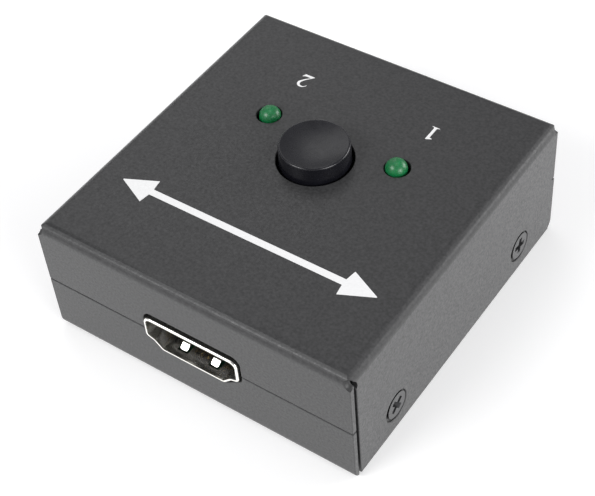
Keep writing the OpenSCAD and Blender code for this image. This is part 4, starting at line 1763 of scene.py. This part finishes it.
@dataclass(frozen=True)
class Studio:
    """Camera, lights and floor.

    Attributes:
        azimuth: Camera's turn from the face with the single port, in degrees.
        elevation: Camera's height above the horizon, in degrees.
        roll: Camera's roll, in degrees.
        distance: Camera's distance from the box's foot, in millimetres.
        shift_right: Camera's place to the right of that line.
        shift_up: Camera's place above it.
        lens: Focal length.
        sensor: Width of the sensor.
        clip: Nearest and farthest distance that the camera sees, in metres.
        lamps: The soft boxes.
        room: Colour of the room's light on the object.
        floor_size: Width of the floor in metres.
        floor_colour: Colour of the floor.
        floor_glow: Glow of the floor as each kind of ray sees it.
    """

    azimuth: float = 38.775
    elevation: float = 47.09
    roll: float = -5.615
    distance: float = 198.576
    shift_right: float = -1.858
    shift_up: float = 3.572
    lens: float = 86.33
    sensor: float = 36
    clip: Spot = (0.01, 20)
    lamps: tuple[Lamp, ...] = (
        Lamp("front_left_box", (-0.34, -0.76, 0.64), 0.5, 0.36, 5.2),
        Lamp("right_box", (0.88, -0.26, 0.28), 0.55, 0.35, 4.8),
        Lamp("back_right_box", (0.60, 0.75, 0.26), 0.6, 0.4, 4.0),
        Lamp("back_left_box", (-0.62, 0.50, 0.74), 0.6, 0.5, 0.9),
        Lamp("top_box", (0.05, 0.05, 1.10), 0.5, 0.4, 0.9),
    )
    room: Colour = (0.38, 0.38, 0.39)
    floor_size: float = 8
    floor_colour: Colour = (0.8, 0.8, 0.8)
    floor_glow: tuple[tuple[str, float], ...] = (
        ("Is Camera Ray", 0.36), ("Is Glossy Ray", 0.75), ("Is Transmission Ray", 0.36)
    )

    def build(self) -> None:
        """Makes the camera, the world, the floor and the lamps."""
        self.make_camera()
        self.make_world()
        self.make_floor()
        for lamp in self.lamps:
            self.make_lamp(lamp)

    def stand(self, name: str, data: bpy.types.ID) -> Piece:
        """Adds an object for a camera or a lamp.

        Args:
            name: Name of the object.
            data: The camera or lamp.

        Returns:
            The object.
        """
        obj = bpy.data.objects.new(name, data)
        bpy.context.collection.objects.link(obj)
        return obj

    def make_camera(self) -> None:
        """Makes the camera at the photograph's viewing angle."""
        angles = (self.azimuth, self.elevation, self.roll)
        azimuth, elevation, roll = (math.radians(angle) for angle in angles)
        right = Vector((math.cos(azimuth), math.sin(azimuth), 0))
        level = math.cos(elevation)
        back = Vector(
            (math.sin(azimuth) * level, -math.cos(azimuth) * level, math.sin(elevation))
        )
        up = back.cross(right)
        across = math.cos(roll) * right + math.sin(roll) * up
        above = math.cos(roll) * up - math.sin(roll) * right
        place_mm = back * self.distance + across * self.shift_right + above * self.shift_up
        data = bpy.data.cameras.new("photo_camera")
        data.lens, data.sensor_width = self.lens, self.sensor
        data.clip_start, data.clip_end = self.clip
        camera = self.stand("photo_camera", data)
        axes = Matrix((across, above, back)).transposed()
        camera.matrix_world = Matrix.Translation(place_mm * MM) @ axes.to_4x4()
        bpy.context.scene.camera = camera

    def make_lamp(self, lamp: Lamp) -> None:
        """Adds a soft box.

        Args:
            lamp: The soft box.
        """
        data = bpy.data.lights.new(lamp.name, "AREA")
        data.shape = "RECTANGLE"
        data.size, data.size_y = lamp.width, lamp.height
        data.energy = lamp.power
        box = self.stand(lamp.name, data)
        box.location = lamp.way
        box.rotation_euler = Vector(lamp.way).to_track_quat("Z", "Y").to_euler()

    def make_world(self) -> None:
        """Lights the room evenly, with a white background."""
        world = bpy.data.worlds.new("studio")
        bpy.context.scene.world = world
        graph = Graph(world)
        seen = graph.add("ShaderNodeLightPath").outputs["Is Camera Ray"]
        graph.fill(graph.shader, Color=graph.blend(seen, self.room, (1, 1, 1)))

    def make_floor(self) -> None:
        """Adds the pale floor, which glows a little so that it shows white."""
        deselect()
        bpy.ops.mesh.primitive_plane_add(size=self.floor_size)
        floor = bpy.context.object
        floor.name = "studio_floor"
        material = bpy.data.materials.new("pale_floor")
        graph = Graph(material)
        path = graph.add("ShaderNodeLightPath")
        glow = 0.0
        for ray, strength in self.floor_glow:
            glow = graph.compute("MULTIPLY_ADD", path.outputs[ray], strength, glow)
        graph.fill(
            graph.shader, Base_Color=(*self.floor_colour, 1), Roughness=1,
            Specular_IOR_Level=0, Emission_Color=(1, 1, 1, 1), Emission_Strength=glow,
        )
        dress(floor, material)


def main() -> None:
    """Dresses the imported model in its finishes, and lights it."""
    logging.basicConfig(level=logging.INFO, format="%(name)s: %(message)s")
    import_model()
    deselect()
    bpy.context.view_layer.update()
    bpy.context.scene.view_settings.view_transform = "Standard"
    Studio().build()
    for part in (
        Case(), SideScrews(), VideoPorts(), PushButton(), IndicatorLights(), LidPrinting(),
        InnerParts(),
    ):
        log.info("%s", type(part).__name__)
        part.build()


if __name__ == "__main__":
    main()
